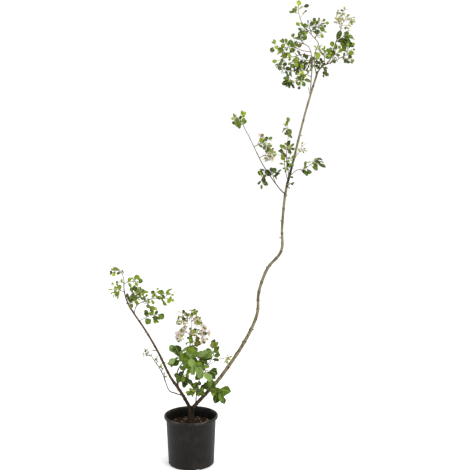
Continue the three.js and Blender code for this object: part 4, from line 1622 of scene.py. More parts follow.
@dataclass(frozen=True)
class Pot:
    """The round nursery pot: a thin tapering wall, a rolled lip and notches for drainage."""

    height: float = 152.4
    rim_radius: float = 82.5
    neck_radius: float = 76.4
    base_radius: float = 69.8
    wall: float = 2.2
    floor: float = 3.0
    floor_ring: float = 30.0
    lip_height: float = 8.0
    lip_round: float = 1.6
    foot_round: float = 2.0
    bead: float = 0.5  # how far the wall stands out under the lip
    sides: int = 144
    steps: int = 14  # up the wall
    crease: float = 40.0
    notch_size: Point = (13.0, 30.0, 18.0)
    notch_count: int = 4
    notch_turn: float = 20.0

    @property
    def lip_foot(self) -> float:
        """The height of the lip's lower edge."""
        return self.height - self.lip_height

    def wall_radius(self, height: float) -> float:
        """The wall's outer radius at a height."""
        return mix(self.base_radius, self.neck_radius, height / self.lip_foot)

    @staticmethod
    def arc(
        middle: tuple[float, float], wide: float, high: float, ends: tuple[float, float], steps: int = 4
    ) -> Outline:
        """Points of an arc of half a width and half a height, between two angles in degrees."""
        turns = [math.radians(mix(*ends, share)) for share in shares_of(steps)]
        return [(middle[0] + wide * math.cos(t), middle[1] + high * math.sin(t)) for t in turns]

    def outline(self) -> Outline:
        """Sets out the turned outline, from the underside's middle up and back down inside.

        Returns:
            Pairs of radius and height.
        """
        r, foot, top, lip_foot = self.lip_round, self.foot_round, self.height, self.lip_foot
        outer = [mix(foot, lip_foot - 5, share) for share in shares_of(self.steps)]
        inner = [mix(lip_foot, self.floor, share) for share in shares_of(self.steps)]
        bead = ((lip_foot - 3.6, 0.0), (lip_foot - 3.0, self.bead), (lip_foot, self.bead))
        return [
            (0.0, 0.0),
            (self.floor_ring, 0.0),
            *self.arc((self.base_radius - foot, foot), foot, foot, (-90, 0)),
            *((self.wall_radius(z), z) for z in outer[1:]),
            *((self.wall_radius(z) + out, z) for z, out in bead),
            *self.arc((self.rim_radius - r, lip_foot + r), r, r, (-90, 0)),
            *self.arc((self.rim_radius - r, top - r), r, r, (0, 90)),
            *self.arc((self.rim_radius - 2.5 * r, top - r), r, r, (90, 180)),
            *((self.wall_radius(z) - self.wall, z) for z in inner),
            (self.floor_ring, self.floor),
            (0.0, self.floor),
        ]

    def build(self) -> None:
        """Builds the pot's piece."""
        sketch = Sketch()
        sketch.turn(self.outline(), self.sides, "plastic")
        made = sketch.piece("pot_shell", self.crease)
        first = math.radians(self.notch_turn)
        tools = [self.cut_notch(made, first + turn) for turn in turns_of(self.notch_count)]
        apply_modifiers(made)
        for tool in tools:
            bpy.data.objects.remove(tool)
        turn_outwards(made.data)
        made.data.set_sharp_from_angle(angle=math.radians(self.crease))
        hand_over(made, ["pot"])

    def cut_notch(self, made: Piece, turn: float) -> Piece:
        """Sets up the cut of one rounded notch.

        Args:
            made: the pot.
            turn: the notch's turn about the pot.

        Returns:
            The cutting tool.
        """
        width, depth, height = self.notch_size
        round_top = self.arc((0.0, 0.225 * height), 0.5 * width, 0.225 * height, (180, 0), 8)
        outline = [(-0.5 * width, -height), *round_top, (0.5 * width, -height)]
        along, out = (math.cos(turn), math.sin(turn), 0.0), (math.sin(turn), -math.cos(turn), 0.0)
        sketch = Sketch()
        rings = []
        for away in (self.base_radius - 0.5 * depth, self.base_radius + 0.5 * depth):
            places = [plus(plus(scaled(out, away), along, x), UP, z) for x, z in outline]
            rings.append([sketch.point(place) for place in places])
            sketch.face(rings[-1], "plastic")
        sketch.strips(rings, lambda _i: ["plastic"] * len(outline))
        tool = sketch.piece("notch_tool")
        cut = made.modifiers.new("notch", "BOOLEAN")
        cut.operation = "DIFFERENCE"
        cut.solver = "EXACT"
        cut.object = tool
        return tool


@dataclass(frozen=True)
class PottingMix:
    """Composted bark: a lumpy filling and the loose chips that lie on it."""

    pot: Pot
    level: float = 122.0
    rings: int = 46
    sides: int = 120
    inset: float = 0.6
    # Height, size and level in the noise of each kind of lump
    lumps: tuple[Point, ...] = ((1.7, 13, 0), (0.8, 4.5, 5), (0.35, 1.8, 9))
    mound: tuple[float, float] = (2.4, 16)  # its height and spread round the trunk
    chips: int = 820
    seed: int = 71
    chip_size: tuple[float, float] = (1.8, 5.8)
    chip_corners: int = 7
    # Height and width of each of a chip's rings, as shares
    chip_rings: Pairs = ((-1.0, 0.8), (-0.35, 1.0), (0.4, 0.97), (1.0, 0.74))
    chip_end: float = 1.05

    def height(self, x: float, y: float) -> float:
        """The surface's height at a place."""
        lumps = sum(high * rough((x, y, level), size) for high, size, level in self.lumps)
        return self.level - 0.4 + lumps + self.mound[0] * bell(math.hypot(x, y), self.mound[1])

    def edge_radius(self, height: float) -> float:
        """The radius of the filling at a height."""
        return self.pot.wall_radius(height) - self.pot.wall - self.inset

    def build_filling(self) -> None:
        """Builds the filling, with its lumpy top."""
        sketch = Sketch()
        foot, edge = self.pot.floor + GAP, self.edge_radius(self.level)
        outline = [(0.0, foot), (self.pot.floor_ring, foot)]
        outline += [(self.edge_radius(z), z) for z in (foot, 40.0, 80.0, self.level - 4)]
        outline += [(edge * (1 - i / self.rings), self.level) for i in range(self.rings)]
        sketch.turn([*outline, (0.0, self.level)], self.sides, "mix")
        sketch.points = [
            (x, y, self.height(x, y)) if z > self.level - 1 else (x, y, z) for x, y, z in sketch.points
        ]
        hand_over(sketch.piece("potting_surface", crease=80), ["potting_mix"])

    def build_chips(self) -> None:
        """Builds the loose chips: split slabs of bark, each in one of four browns."""
        sketch = Sketch()
        chance = Chance(self.seed)
        tones = (*["chip_dark"] * 5, *["chip_brown"] * 3, "chip_red", "chip_tan")
        for _ in range(self.chips):
            away, turn = (self.edge_radius(self.level) - 5) * math.sqrt(chance.next()), chance.turn()
            x, y = away * math.cos(turn), away * math.sin(turn)
            size = mix(*self.chip_size, chance.next() ** 2)
            self.add_chip(sketch, (x, y, self.height(x, y)), size, chance.pick(tones), chance)
        hand_over(sketch.piece("bark_chips", crease=28))

    def add_chip(self, sketch: Sketch, place: Point, size: float, tone: str, chance: Chance) -> None:
        """Adds one chip, tilted a little and sunk a little.

        Args:
            sketch: takes the faces.
            place: where it lies.
            size: half its length.
            tone: its finish.
            chance: the stream that varies it.
        """
        turn = chance.turn()
        long = unit((math.cos(turn), math.sin(turn), chance.between(-0.45, 0.45)))
        wide = unit(plus(cross(UP, long), UP, chance.between(-0.4, 0.4)))
        up = unit(cross(long, wide))
        slim, thick = chance.between(0.4, 0.75), size * chance.between(0.16, 0.3)
        radii = [size * chance.between(0.75, 1.1) for _ in range(self.chip_corners)]
        outs = [spoke(long, scaled(wide, slim), turn) for turn in turns_of(self.chip_corners)]
        middle = plus(place, UP, 0.35 * thick)
        rings = [
            [
                plus(plus(middle, out, radius * inset), up, thick * (level + 0.18 * chance.between(-1, 1)))
                for out, radius in zip(outs, radii)
            ]
            for level, inset in self.chip_rings
        ]
        ends = [plus(middle, up, hand * self.chip_end * thick) for hand in (-1, 1)]
        sketch.hull(rings, ends, lambda _i: [tone] * self.chip_corners)


# Shader maths


class Value:
    """A number that varies over a surface. Arithmetic on it adds Math nodes."""

    def __init__(self, sheet: Sheet, socket: Socket) -> None:
        """Wraps a node's output."""
        self.sheet = sheet
        self.socket = socket

    def __add__(self, other: Value | float) -> Value:
        """This plus another."""
        return self.sheet.maths("ADD", self, other)

    def __sub__(self, other: Value | float) -> Value:
        """This less another."""
        return self.sheet.maths("SUBTRACT", self, other)

    def __rsub__(self, other: float) -> Value:
        """A number less this."""
        return self.sheet.maths("SUBTRACT", other, self)

    def __mul__(self, other: Value | float) -> Value:
        """This times another."""
        return self.sheet.maths("MULTIPLY", self, other)

    __radd__, __rmul__ = __add__, __mul__

    def rising(self, low: float, high: float) -> Value:
        """A smooth rise from 0 to 1 as this goes from low to high."""
        smooth = {"interpolation_type": "SMOOTHSTEP"}
        return self.sheet.value("ShaderNodeMapRange", smooth, {0: self, 1: low, 2: high})


class Sheet:
    """The nodes of one material, from its surface coordinates to its shader."""

    def __init__(self, name: str) -> None:
        """Starts a material with one Principled shader.

        Args:
            name: the material's name.
        """
        material = bpy.data.materials.new(name)
        material.use_nodes = True
        self.tree = material.node_tree
        self.shader = self.tree.nodes["Principled BSDF"]
        self.place = self.node("ShaderNodeTexCoord", {}, {}).outputs["Object"]

    def node(self, kind: str, settings: dict, sockets: dict) -> bpy.types.Node:
        """Adds a node.

        Args:
            kind: its type.
            settings: its settings, set first.
            sockets: values or links of its sockets, by name or number.

        Returns:
            The node.
        """
        node = self.tree.nodes.new(kind)
        for setting, value in settings.items():
            setattr(node, setting, value)
        self.fill(node, sockets)
        return node

    def fill(self, node: bpy.types.Node, sockets: dict) -> None:
        """Sets or links a node's sockets.

        Args:
            node: the node.
            sockets: values or links, by name or number.
        """
        for name, value in sockets.items():
            source = getattr(value, "socket", value)
            if isinstance(source, Socket):
                self.tree.links.new(source, node.inputs[name])
            else:
                node.inputs[name].default_value = source

    def value(self, kind: str, settings: dict, sockets: dict, output: int = 0) -> Value:
        """What a new node puts out."""
        return Value(self, self.node(kind, settings, sockets).outputs[output])

    def maths(self, operation: str, first: Value | float, second: Value | float) -> Value:
        """The result of a Math node."""
        return self.value("ShaderNodeMath", {"operation": operation}, {0: first, 1: second})

    def grain(self, size: float, detail: float = 3.0, stretch: Point = (1, 1, 1)) -> Value:
        """Adds noise.

        Args:
            size: how far across its features are, in millimetres.
            detail: how much finer detail it has.
            stretch: how far each coordinate is stretched first.

        Returns:
            The noise.
        """
        place = self.value("ShaderNodeVectorMath", {"operation": "MULTIPLY"}, {0: self.place, 1: stretch})
        sockets = {"Vector": place, "Scale": 1 / (size * METRES), "Detail": detail}
        return self.value("ShaderNodeTexNoise", {}, sockets)

    def height(self) -> Value:
        """The height above the floor, in metres."""
        return self.value("ShaderNodeSeparateXYZ", {}, {0: self.place}, 2)

    def blend(self, share: Value, a: object, b: object) -> Socket:
        """A colour some share of the way from a to b."""
        return self.node("ShaderNodeMix", {"data_type": "RGBA"}, {0: share, 6: a, 7: b}).outputs[2]

    def bump(self, height: Value, strength: float, depth: float) -> Socket:
        """The normal of a surface with relief of a depth, in millimetres."""
        sockets = {"Height": height, "Strength": strength, "Distance": depth * METRES}
        return self.node("ShaderNodeBump", {}, sockets).outputs[0]


def linear(colour: Colour, lift: float = 1.0) -> tuple[float, float, float, float]:
    """Turns a colour into what the shader takes.

    Args:
        colour: red, green and blue, each from 0 to 255.
        lift: over 1 it is made lighter, and under 1 darker.

    Returns:
        Shares of red, green and blue, and 1 for solid.
    """
    shares = [limited(part / 255) for part in colour]
    parts = [s / 12.92 if s <= 0.04045 else ((s + 0.055) / 1.055) ** 2.4 for s in shares]
    return (*(limited(part * lift) for part in parts), 1.0)


# Finishes


@dataclass(frozen=True)
class Finish:
    """A surface with a colour of its own."""

    colour: Colour

    def sockets(self, sheet: Sheet) -> dict:
        """What the shader's sockets get, which each kind of finish works out."""
        raise NotImplementedError

    def make(self, name: str) -> None:
        """Makes the material that goes by a name."""
        sheet = Sheet(name)
        sheet.fill(sheet.shader, self.sockets(sheet))


@dataclass(frozen=True)
class Living(Finish):
    """Leaf, petal, bud and young twig: two near colours in soft patches, with a satin surface."""

    patch: Colour
    roughness: float = 0.5
    patch_size: float = 9.0
    fine_size: float = 1.6
    relief: float = 0.12
    glow: float = 0.1  # how much light passes into it
    gloss: float = 0.18

    def sockets(self, sheet: Sheet) -> dict:
        """Works out what the shader's sockets get.

        Args:
            sheet: takes the nodes.

        Returns:
            Values or links by name.
        """
        broad, fine = sheet.grain(self.patch_size, 2), sheet.grain(self.fine_size, 4)
        share = (0.7 * broad + 0.3 * fine).rising(0.38, 0.64)
        return {
            "Base Color": sheet.blend(share, linear(self.colour), linear(self.patch)),
            "Roughness": self.roughness - 0.08 + 0.16 * fine,
            "Normal": sheet.bump(0.6 * fine + 0.4 * broad, 0.35, self.relief),
            "Specular IOR Level": self.gloss,
            "Subsurface Weight": self.glow,
            "Subsurface Radius": (0.001, 0.0016, 0.0005),
        }


@dataclass(frozen=True)
class Bark(Finish):
    """Thin smooth bark, dark and reddish at the foot, partly its own colour and partly painted shade from the
    pot's rim and the foliage above, with long flakes and fine cracks.
    """

    flake: Colour
    lower: Colour
    low: float = 0.13  # height in metres where the lower colour starts to give way
    high: float = 0.27
    band: tuple[float, float] | None = None  # heights between which the lower colour comes back

    def sockets(self, sheet: Sheet) -> dict:
        """Works out what the shader's sockets get.

        Args:
            sheet: takes the nodes.

        Returns:
            Values or links by name.
        """
        flakes = sheet.grain(9, 4, (1, 1, 0.35)).rising(0.47, 0.6)
        cracks = sheet.grain(2.2, 6, (1, 1, 0.3))
        specks = sheet.grain(0.9, 3)
        clean = sheet.blend(0.85 * flakes, linear(self.colour), linear(self.flake))
        aged = sheet.blend(cracks.rising(0.56, 0.72) * 0.55, clean, linear(self.lower, 1.3))
        wander = sheet.grain(30, 2) * 0.08
        # Below the low height the lower colour takes over: a darker foot that is partly painted shade from
        # the pot's rim and the foliage above, and partly the older bark's own colour.
        above = (sheet.height() + wander).rising(self.low + 0.04, self.high + 0.04)
        foot = sheet.blend(flakes, linear(self.lower), linear(self.lower, 2.2))
        if self.band:
            low, high = self.band
            edge = sheet.height() + wander * 0.2
            inside = edge.rising(low, low + 0.008) * (1 - edge.rising(high, high + 0.008))
            aged = sheet.blend(0.93 * inside, aged, linear(self.lower, 0.7))
        return {
            "Base Color": sheet.blend(above, foot, aged),
            "Roughness": 0.62 + 0.3 * cracks,
            "Normal": sheet.bump(0.5 * cracks + 0.3 * flakes + 0.2 * specks, 0.7, 0.45),
            "Specular IOR Level": 0.18,
        }


@dataclass(frozen=True)
class Plastic(Finish):
    """The pot's black moulded plastic, with a fine texture and dust on its upper faces."""

    dust: Colour
    lip: tuple[float, float] = (0.1455, 0.1524)  # heights in metres between which dust thickens
    splash: float = 0.028  # height in metres that splashed dust reaches

    def sockets(self, sheet: Sheet) -> dict:
        """Works out what the shader's sockets get.

        Args:
            sheet: takes the nodes.

        Returns:
            Values or links by name.
        """
        cloud = sheet.grain(26, 5)
        streak = sheet.grain(5, 4, (1, 1, 0.12))
        pebble = sheet.grain(0.8, 2)
        lip = sheet.height().rising(*self.lip)
        splash = 1 - sheet.height().rising(0.0, self.splash)
        dust = 0.05 * cloud.rising(0.45, 0.7) + 0.06 * streak.rising(0.55, 0.75)
        settled = dust + 0.45 * lip * cloud.rising(0.4, 0.6) + 0.08 * splash * cloud
        return {
            "Base Color": sheet.blend(settled, linear(self.colour), linear(self.dust)),
            "Roughness": 0.42 + 0.16 * cloud + 0.3 * settled,
            "Normal": sheet.bump(pebble + 0.35 * cloud, 0.3, 0.16),
            "Specular IOR Level": 0.15,
        }


@dataclass(frozen=True)
class Composted(Finish):
    """Potting mix and its chips: dull brown with fibres and crumbs."""

    fleck: Colour
    crumb: float = 2.4
    relief: float = 0.5

    def sockets(self, sheet: Sheet) -> dict:
        """Works out what the shader's sockets get.

        Args:
            sheet: takes the nodes.

        Returns:
            Values or links by name.
        """
        crumbs, fibres = sheet.grain(self.crumb, 6), sheet.grain(0.9, 4, (1, 0.25, 1))
        share = (0.6 * crumbs + 0.4 * fibres).rising(0.42, 0.66)
        return {
            "Base Color": sheet.blend(share, linear(self.colour), linear(self.fleck)),
            "Roughness": 0.8 + 0.18 * fibres,
            "Normal": sheet.bump(0.7 * crumbs + 0.3 * fibres, 0.8, self.relief),
            "Specular IOR Level": 0.1,
        }


@dataclass(frozen=True)
class Paper(Finish):
    """The floor's plain matt white, with faint soft patches."""

    patch: Colour

    def sockets(self, sheet: Sheet) -> dict:
        """What the shader's sockets get."""
        tone = sheet.blend(sheet.grain(400, 2), linear(self.colour), linear(self.patch))
        return {"Base Color": tone, "Roughness": 0.9}


FINISHES: dict[str, Finish] = {
    # The lightest and darkest leaf greens are partly painted light: leaf_fresh is partly a painted highlight
    # of lit leaves, and leaf_dark, near black, is partly painted shade of leaves deep in the foliage. Both
    # are also the leaves' own greens.
    "leaf_fresh": Living((142, 158, 36), (115, 136, 26)),
    "leaf_light": Living((114, 136, 27), (94, 117, 19)),
    "leaf_mid": Living((83, 108, 20), (64, 87, 14)),
    "leaf_deep": Living((54, 75, 15), (40, 58, 10)),
    "leaf_dark": Living((34, 47, 10), (24, 34, 7)),
    "leaf_bronze": Living((104, 98, 34), (84, 84, 24)),
    # A painted sheen: this finish's paler grey-green base colour stands in for the white surroundings'
    # reflection on glossy leaves. Its gloss and lower roughness are the leaf's own.
    "leaf_sheen": Living((114, 138, 64), (92, 118, 44), roughness=0.42, gloss=0.35),
    "underside": Living((106, 124, 50), (90, 108, 38), roughness=0.6, glow=0.06),
    "rib": Living((140, 152, 66), (118, 132, 50), patch_size=5),
    "young_bark": Living((104, 86, 52), (78, 64, 38), roughness=0.7, glow=0),
    "green_twig": Living((118, 112, 48), (104, 84, 44), roughness=0.6, patch_size=14, glow=0.03),
    "petal": Living((196, 190, 178), (184, 170, 162), roughness=0.6, patch_size=6, glow=0.15, gloss=0.2),
    "claw": Living((196, 188, 176), (186, 170, 160), roughness=0.6, patch_size=3, gloss=0.2),
    "pollen": Living((184, 160, 84), (164, 136, 56), roughness=0.7, fine_size=0.4),
    "bud_green": Living((158, 164, 96), (134, 142, 72), patch_size=4),
    "bud_blush": Living((190, 178, 134), (170, 152, 108), patch_size=4),
    # Each bark's third colour darkens its foot below the two heights that follow. It is partly the bark's own
    # colour and partly painted shade from the pot's rim and the foliage above.
    "bark_pale": Bark((120, 112, 87), (84, 75, 54), (52, 39, 26), 0.2, 0.28, (0.857, 0.924)),
    "bark_grey": Bark((132, 118, 92), (98, 84, 62), (56, 42, 29), 0.13, 0.24),
    "bark_brown": Bark((88, 71, 50), (64, 51, 36), (33, 25, 16), 0.17, 0.3),
    "bark_dark": Bark((128, 112, 90), (92, 78, 58), (34, 26, 17), 0.9, 0.96),
    "bark_foot": Bark((72, 58, 40), (52, 41, 29), (29, 21, 13), 0.18, 0.26),
    "scar": Composted((70, 54, 37), (48, 35, 24), relief=0.3),
    "plastic": Plastic((17, 16, 15), (104, 92, 76)),
    "mix": Composted((22, 15, 10), (42, 29, 19), relief=0.9),
    "chip_dark": Composted((27, 19, 13), (42, 29, 20)),
    "chip_brown": Composted((50, 35, 22), (36, 25, 16)),
    "chip_red": Composted((70, 50, 33), (50, 35, 24)),
    "chip_tan": Composted((132, 112, 84), (96, 78, 56)),
    "pale_floor": Paper((255, 255, 255), (253, 253, 253)),
}


# What grows where: the same limbs and masses as in the CAD source


LIMBS = (
    Limb(
        "long_stem",
        (
            (7, 1, 176), (37, 8, 207), (91, 20, 266), (159, 32, 365), (201, 33, 456),
            (207, 26, 530), (232, 13, 605), (273, 6, 661), (275, 2, 735), (284, -4, 837),
            (304, -6, 923), (339, -2, 1068), (375, 6, 1190),
        ),
        5.2, 2.4, 30, ("long_stem_lower", "long_stem_middle", "long_stem_upper"), "bark_pale", 1.15,
        (
            Stub(0.14, 9, -1), Stub(0.252, 11, -1), Stub(0.29, 10, 1), Stub(0.41, 8, 1, 0.8),
            Stub(0.5, 9, -1), Stub(0.628, 11, -1), Stub(0.679, 9, -1), Stub(0.74, 8, 1),
            Stub(0.88, 10, 1), Stub(0.95, 26, -1, 0.5),
        ),
    ),
    Limb(
        "left_stem",
        (
            (-4, -1, 177), (-30, -8, 227), (-62, -20, 281), (-96, -32, 360),
            (-131, -45, 429), (-175, -56, 503), (-190, -60, 548), (-191, -60, 590),
        ),
        5, 1.1, 15,
        thickness=1.06,
        stubs=(
            Stub(0.09, 9, 1, 0.7), Stub(0.16, 8, -1), Stub(0.2, 10, 1, 0.5), Stub(0.36, 8, 1),
            Stub(0.56, 9, -1), Stub(0.68, 7, 1),
        ),
    ),
    Limb("left_arch", (
        (-140, -47, 443), (-153, -56, 465), (-161, -62, 489), (-152, -66, 512), (-126, -70, 528),
    ), 1.6, 1.1, 7),
    Limb("thin_stem", (
        (-22, -6, 214), (-49, 6, 219), (-69, 16, 227), (-90, 34, 275), (-120, 52, 317),
    ), 2, 1.3, 8),
    Limb("flower_stem", (
        (-36, -10, 240), (-42, -22, 276), (-35, -34, 308), (-16, -46, 339), (0, -54, 371),
    ), 2.2, 1.5, 8),
    Limb("low_right_stem", (
        (15, 2, 186), (18, -10, 228), (28, -22, 273), (45, -30, 309), (63, -34, 335),
    ), 1.9, 1.2, 8),
    Limb("mid_left_bough", (
        (283, -6, 832), (259, -18, 859), (216, -32, 922), (180, -44, 995), (162, -50, 1029),
    ), 2.3, 1.3, 7, (), "bark_dark", 0.72, (Stub(0.82, 8, 1),)),
    Limb("crown_left_bough", (
        (355, 2, 1126), (356, 8, 1160), (360, 20, 1213), (356, 26, 1246), (349, 28, 1262),
    ), 1.8, 1.3, 7, (), "bark_grey", 0.9),
    Limb(
        "crown_middle_bough",
        (
            (371, 6, 1184), (364, -4, 1214), (367, -12, 1248),
            (374, -16, 1269), (358, -20, 1288), (345, -22, 1302),
        ),
        1.8, 1.2, 10, (), "bark_grey", 0.9,
    ),
    Limb("crown_right_bough", (
        (374, 6, 1187), (388, -2, 1205), (406, -14, 1213), (424, -26, 1219),
    ), 1.8, 1.3, 6),
    Limb("crown_upper_right_bough", (
        (398, -8, 1209), (415, 6, 1232), (424, 14, 1263), (431, 18, 1283),
    ), 1.6, 1.2, 6),
)

# Name, limb, share of its way and tip of the stem, then leaf, gap, bare, shoots and shoot, as in Habit
HABITS: dict[Region, tuple[Habit, ...]] = {
    Region.CROWN: (
        Habit("tip_spray", "crown_middle_bough", 1, (315, -16, 1376), 22, 41, 0.5, 3, 17, arch=-5, lone=True,
              buds=2, finer=2, more_leaves=1, more_buds=6),
        Habit("upper_left_tuft", "crown_middle_bough", 0.86, (341, -46, 1322), 21, 17, 0.15, 2, 22, finer=6,
              more_leaves=14),
        Habit("bud_tuft", "crown_middle_bough", 0.73, (386, -2, 1333), 18, 29, 0.2, 3, 22, lone=True, buds=3,
              tint=Tint.FRESH, finer=3, more_leaves=4, more_buds=5),
        Habit("right_panicle", "crown_upper_right_bough", 1, (459, 22, 1348), 12, 60, 0.5, 7, 28, lone=True,
              buds=6, blooms=1, tint=Tint.FRESH, finer=11, more_buds=56, more_blooms=1),
        Habit("upper_right_tuft", "crown_upper_right_bough", 0.7, (444, -22, 1282), 34, 17, 0.1, 2, 26,
              arch=6, wide=0.5, hang=0.5, finer=3, more_leaves=9),
        Habit("right_tuft", "crown_right_bough", 1, (470, -26, 1239), 20, 20, 0.2, 2, 28, buds=2, finer=7,
              more_leaves=18, more_buds=3),
        Habit("right_inner_tuft", "crown_right_bough", 0.76, (431, 14, 1243), 22, 16, 0.25, 2, 24, finer=7,
              more_leaves=18),
        Habit("middle_tuft", "crown_right_bough", 0.47, (388, -46, 1249), 24, 17, 0.25, 2, 24,
              tint=Tint.FRESH),
        Habit("hanging_tuft", "crown_right_bough", 0.3, (391, -32, 1199), 19, 17, 0.3, 1, 20, arch=1,
              tint=Tint.DARK, finer=4, more_leaves=10),
        Habit("left_upper_tuft", "crown_left_bough", 0.99, (305, 40, 1275), 20, 20, 0.2, 3, 24,
              more_leaves=14),
        Habit("far_left_tuft", "crown_left_bough", 0.75, (257, 10, 1257), 21, 20, 0.35, 4, arch=8,
              more_leaves=14),
        Habit("left_middle_tuft", "crown_left_bough", 0.64, (254, -16, 1219), 21, 20, 0.35, 3, 28, arch=9,
              tint=Tint.FRESH, more_leaves=14),
        Habit("inner_left_tuft", "crown_left_bough", 0.5, (315, 52, 1224), 22, 20, 0.2, 3, 26,
              tint=Tint.DARK),
        Habit("left_low_tuft", "crown_left_bough", 0.4, (281, 20, 1186), 20, 20, 0.3, 3, more_leaves=13),
        Habit("lowest_tuft", "crown_left_bough", 0.26, (299, -22, 1160), 22, 20, 0.3, 3, 28, tint=Tint.DARK),
        Habit("back_tuft", "crown_middle_bough", 0.2, (348, 70, 1215), 20, 20, 0.3, 2, 28, tint=Tint.DARK),
    ),
    Region.MIDDLE: (
        Habit("mid_tip_tuft", "mid_left_bough", 1, (139, -66, 1061), 20, 20, 0.05, 3, 24, tint=Tint.FRESH,
              finer=7, more_leaves=20, finer_leaf=0.8),
        Habit("mid_blossom_upper", "mid_left_bough", 0.67, (227, -60, 987), 19, 20, 0.2, 3, 25, buds=2,
              blooms=1, more_leaves=14, more_buds=5, more_blooms=1),
        Habit("mid_blossom_lower", "mid_left_bough", 0.57, (237, -30, 947), 16, 29, 0.3, 4, 24, buds=2,
              blooms=3, tint=Tint.FRESH, more_leaves=8, more_buds=6, more_blooms=1),
        Habit("mid_low_left_tuft", "mid_left_bough", 0.41, (210, -46, 876), 28, 16, 0.15, 1, 26, tries=9,
              tint=Tint.DARK, finer=1, more_leaves=8),
        Habit("mid_low_tuft", "mid_left_bough", 0.28, (238, 6, 903), 25, 19, 0.25, 2, 24, tint=Tint.DARK,
              finer=2, more_leaves=10),
        Habit("mid_upright_twig", "long_stem", 0.8, (289, 24, 1049), 22, 39, 0.36, 2, 18, arch=-5, buds=1,
              finer=4, more_leaves=16, finer_leaf=1.2),
        Habit("mid_inner_tuft", "long_stem", 0.785, (268, -30, 973), 21, 24, 0.4, 3, 24, buds=2, blooms=1,
              finer=4, more_leaves=9, more_buds=3),
        Habit("mid_right_tuft", "long_stem", 0.8, (385, -56, 927), 28, 30, 0.35, 1, 24, arch=9, wide=0.5,
              hang=0.5, finer=4, more_leaves=16),
        Habit("mid_bud_twig", "long_stem", 0.83, (337, -22, 970), 12, 40, 0.6, 2, 22, lone=True, buds=3,
              tint=Tint.FRESH, finer=3, more_leaves=5, more_buds=4),
    ),
    Region.LEFT: (
        Habit("left_tip_tuft", "left_stem", 1, (-208, -70, 618), 17, 22, 0.1, 1, 22, lone=True,
              tint=Tint.FRESH, finer=6, more_leaves=18),
        Habit("left_top_tuft", "left_stem", 0.94, (-157, -50, 579), 18, 22, 0.2, 1, 16, tint=Tint.FRESH,
              finer=6, more_leaves=19),
        Habit("left_outer_tuft", "left_stem", 0.86, (-228, -36, 551), 19, 20, 0.2, 2, 24, tint=Tint.FRESH,
              finer=6, more_leaves=18),
        Habit("left_inner_tuft", "left_stem", 0.78, (-141, -25, 549), 20, 20, 0.3, 3, 28, arch=6, finer=7,
              more_leaves=24),
        Habit("left_front_tuft", "left_arch", 0.72, (-166, -98, 540), 20, 17, 0.2, 2, 26, finer=6,
              more_leaves=20),
        Habit("left_arch_end", "left_arch", 1, (-52, -80, 534), 21, 22, 0.1, 3, hang=0.3, tint=Tint.FRESH,
              finer=7, more_leaves=22),
        Habit("left_low_twig", "left_arch", 0.2, (-94, -34, 476), 26, 17, 0.35, 2, 26, arch=5, wide=0.8,
              tint=Tint.FRESH, finer=4),
        Habit("thin_twig_leaves", "thin_stem", 1, (-143, 62, 336), 9, 13, 0.1, 2, 20, arch=1),
    ),
    Region.FOOT: (
        Habit("base_panicle", "flower_stem", 1, (6, -44, 477), 16, 70, 0.12, 10, 42, lone=True, buds=5,
              blooms=6, finer=30, more_leaves=8, more_buds=100, more_blooms=9, open_to=0.76),
        Habit("base_whorl", "flower_stem", 0.94, (-8, -74, 396), 44, 9, 0, 0, arch=1, wide=0.72, hang=0.7,
              whorl=True, tries=16, tint=Tint.DEEP, finer=3, more_leaves=8, finer_leaf=1.15),
        Habit("base_left_leaves", "flower_stem", 0.69, (-37, -70, 361), 40, 12, 0.2, 0, arch=2, wide=0.72,
              hang=0.6, tries=16, tint=Tint.DEEP, finer=3, more_leaves=8, finer_leaf=1.1),
        Habit("base_right_leaves", "flower_stem", 0.82, (39, -40, 343), 42, 15, 0.1, 1, arch=5, wide=0.66,
              hang=0.6, tries=12, tint=Tint.DEEP, finer=3, more_leaves=9, finer_leaf=1.1),
        Habit("base_low_leaves", "flower_stem", 0.07, (-12, -50, 297), 26, 18, 0.3, 1, 26, tint=Tint.DARK,
              finer=6, more_leaves=16),
        Habit("right_shoot_leaves", "low_right_stem", 1, (68, -42, 372), 32, 16, 0, 1, 24, finer=4,
              more_leaves=14),
        Habit("right_shoot_low_leaves", "low_right_stem", 0.55, (57, -50, 309), 40, 18, 0.2, 0, wide=0.68,
              hang=0.4, tries=12, tint=Tint.DARK, finer=3),
        Habit("right_bud_twig", "low_right_stem", 0.8, (123, -14, 342), 11, 60, 0.6, 3, 18, lone=True,
              buds=3, tint=Tint.FRESH, more_leaves=3, more_buds=12),
        Habit("right_low_twig", "long_stem", 0.09, (89, -16, 239), 40, 24, 0.3, 1, 22, arch=6, tries=9,
              tint=Tint.GREEN, finer=4),
        Habit("base_front_leaves", "low_right_stem", 0.17, (12, -50, 250), 27, 18, 0.25, 2, 26,
              tint=Tint.DARK, finer=7, more_leaves=20),
    ),
}

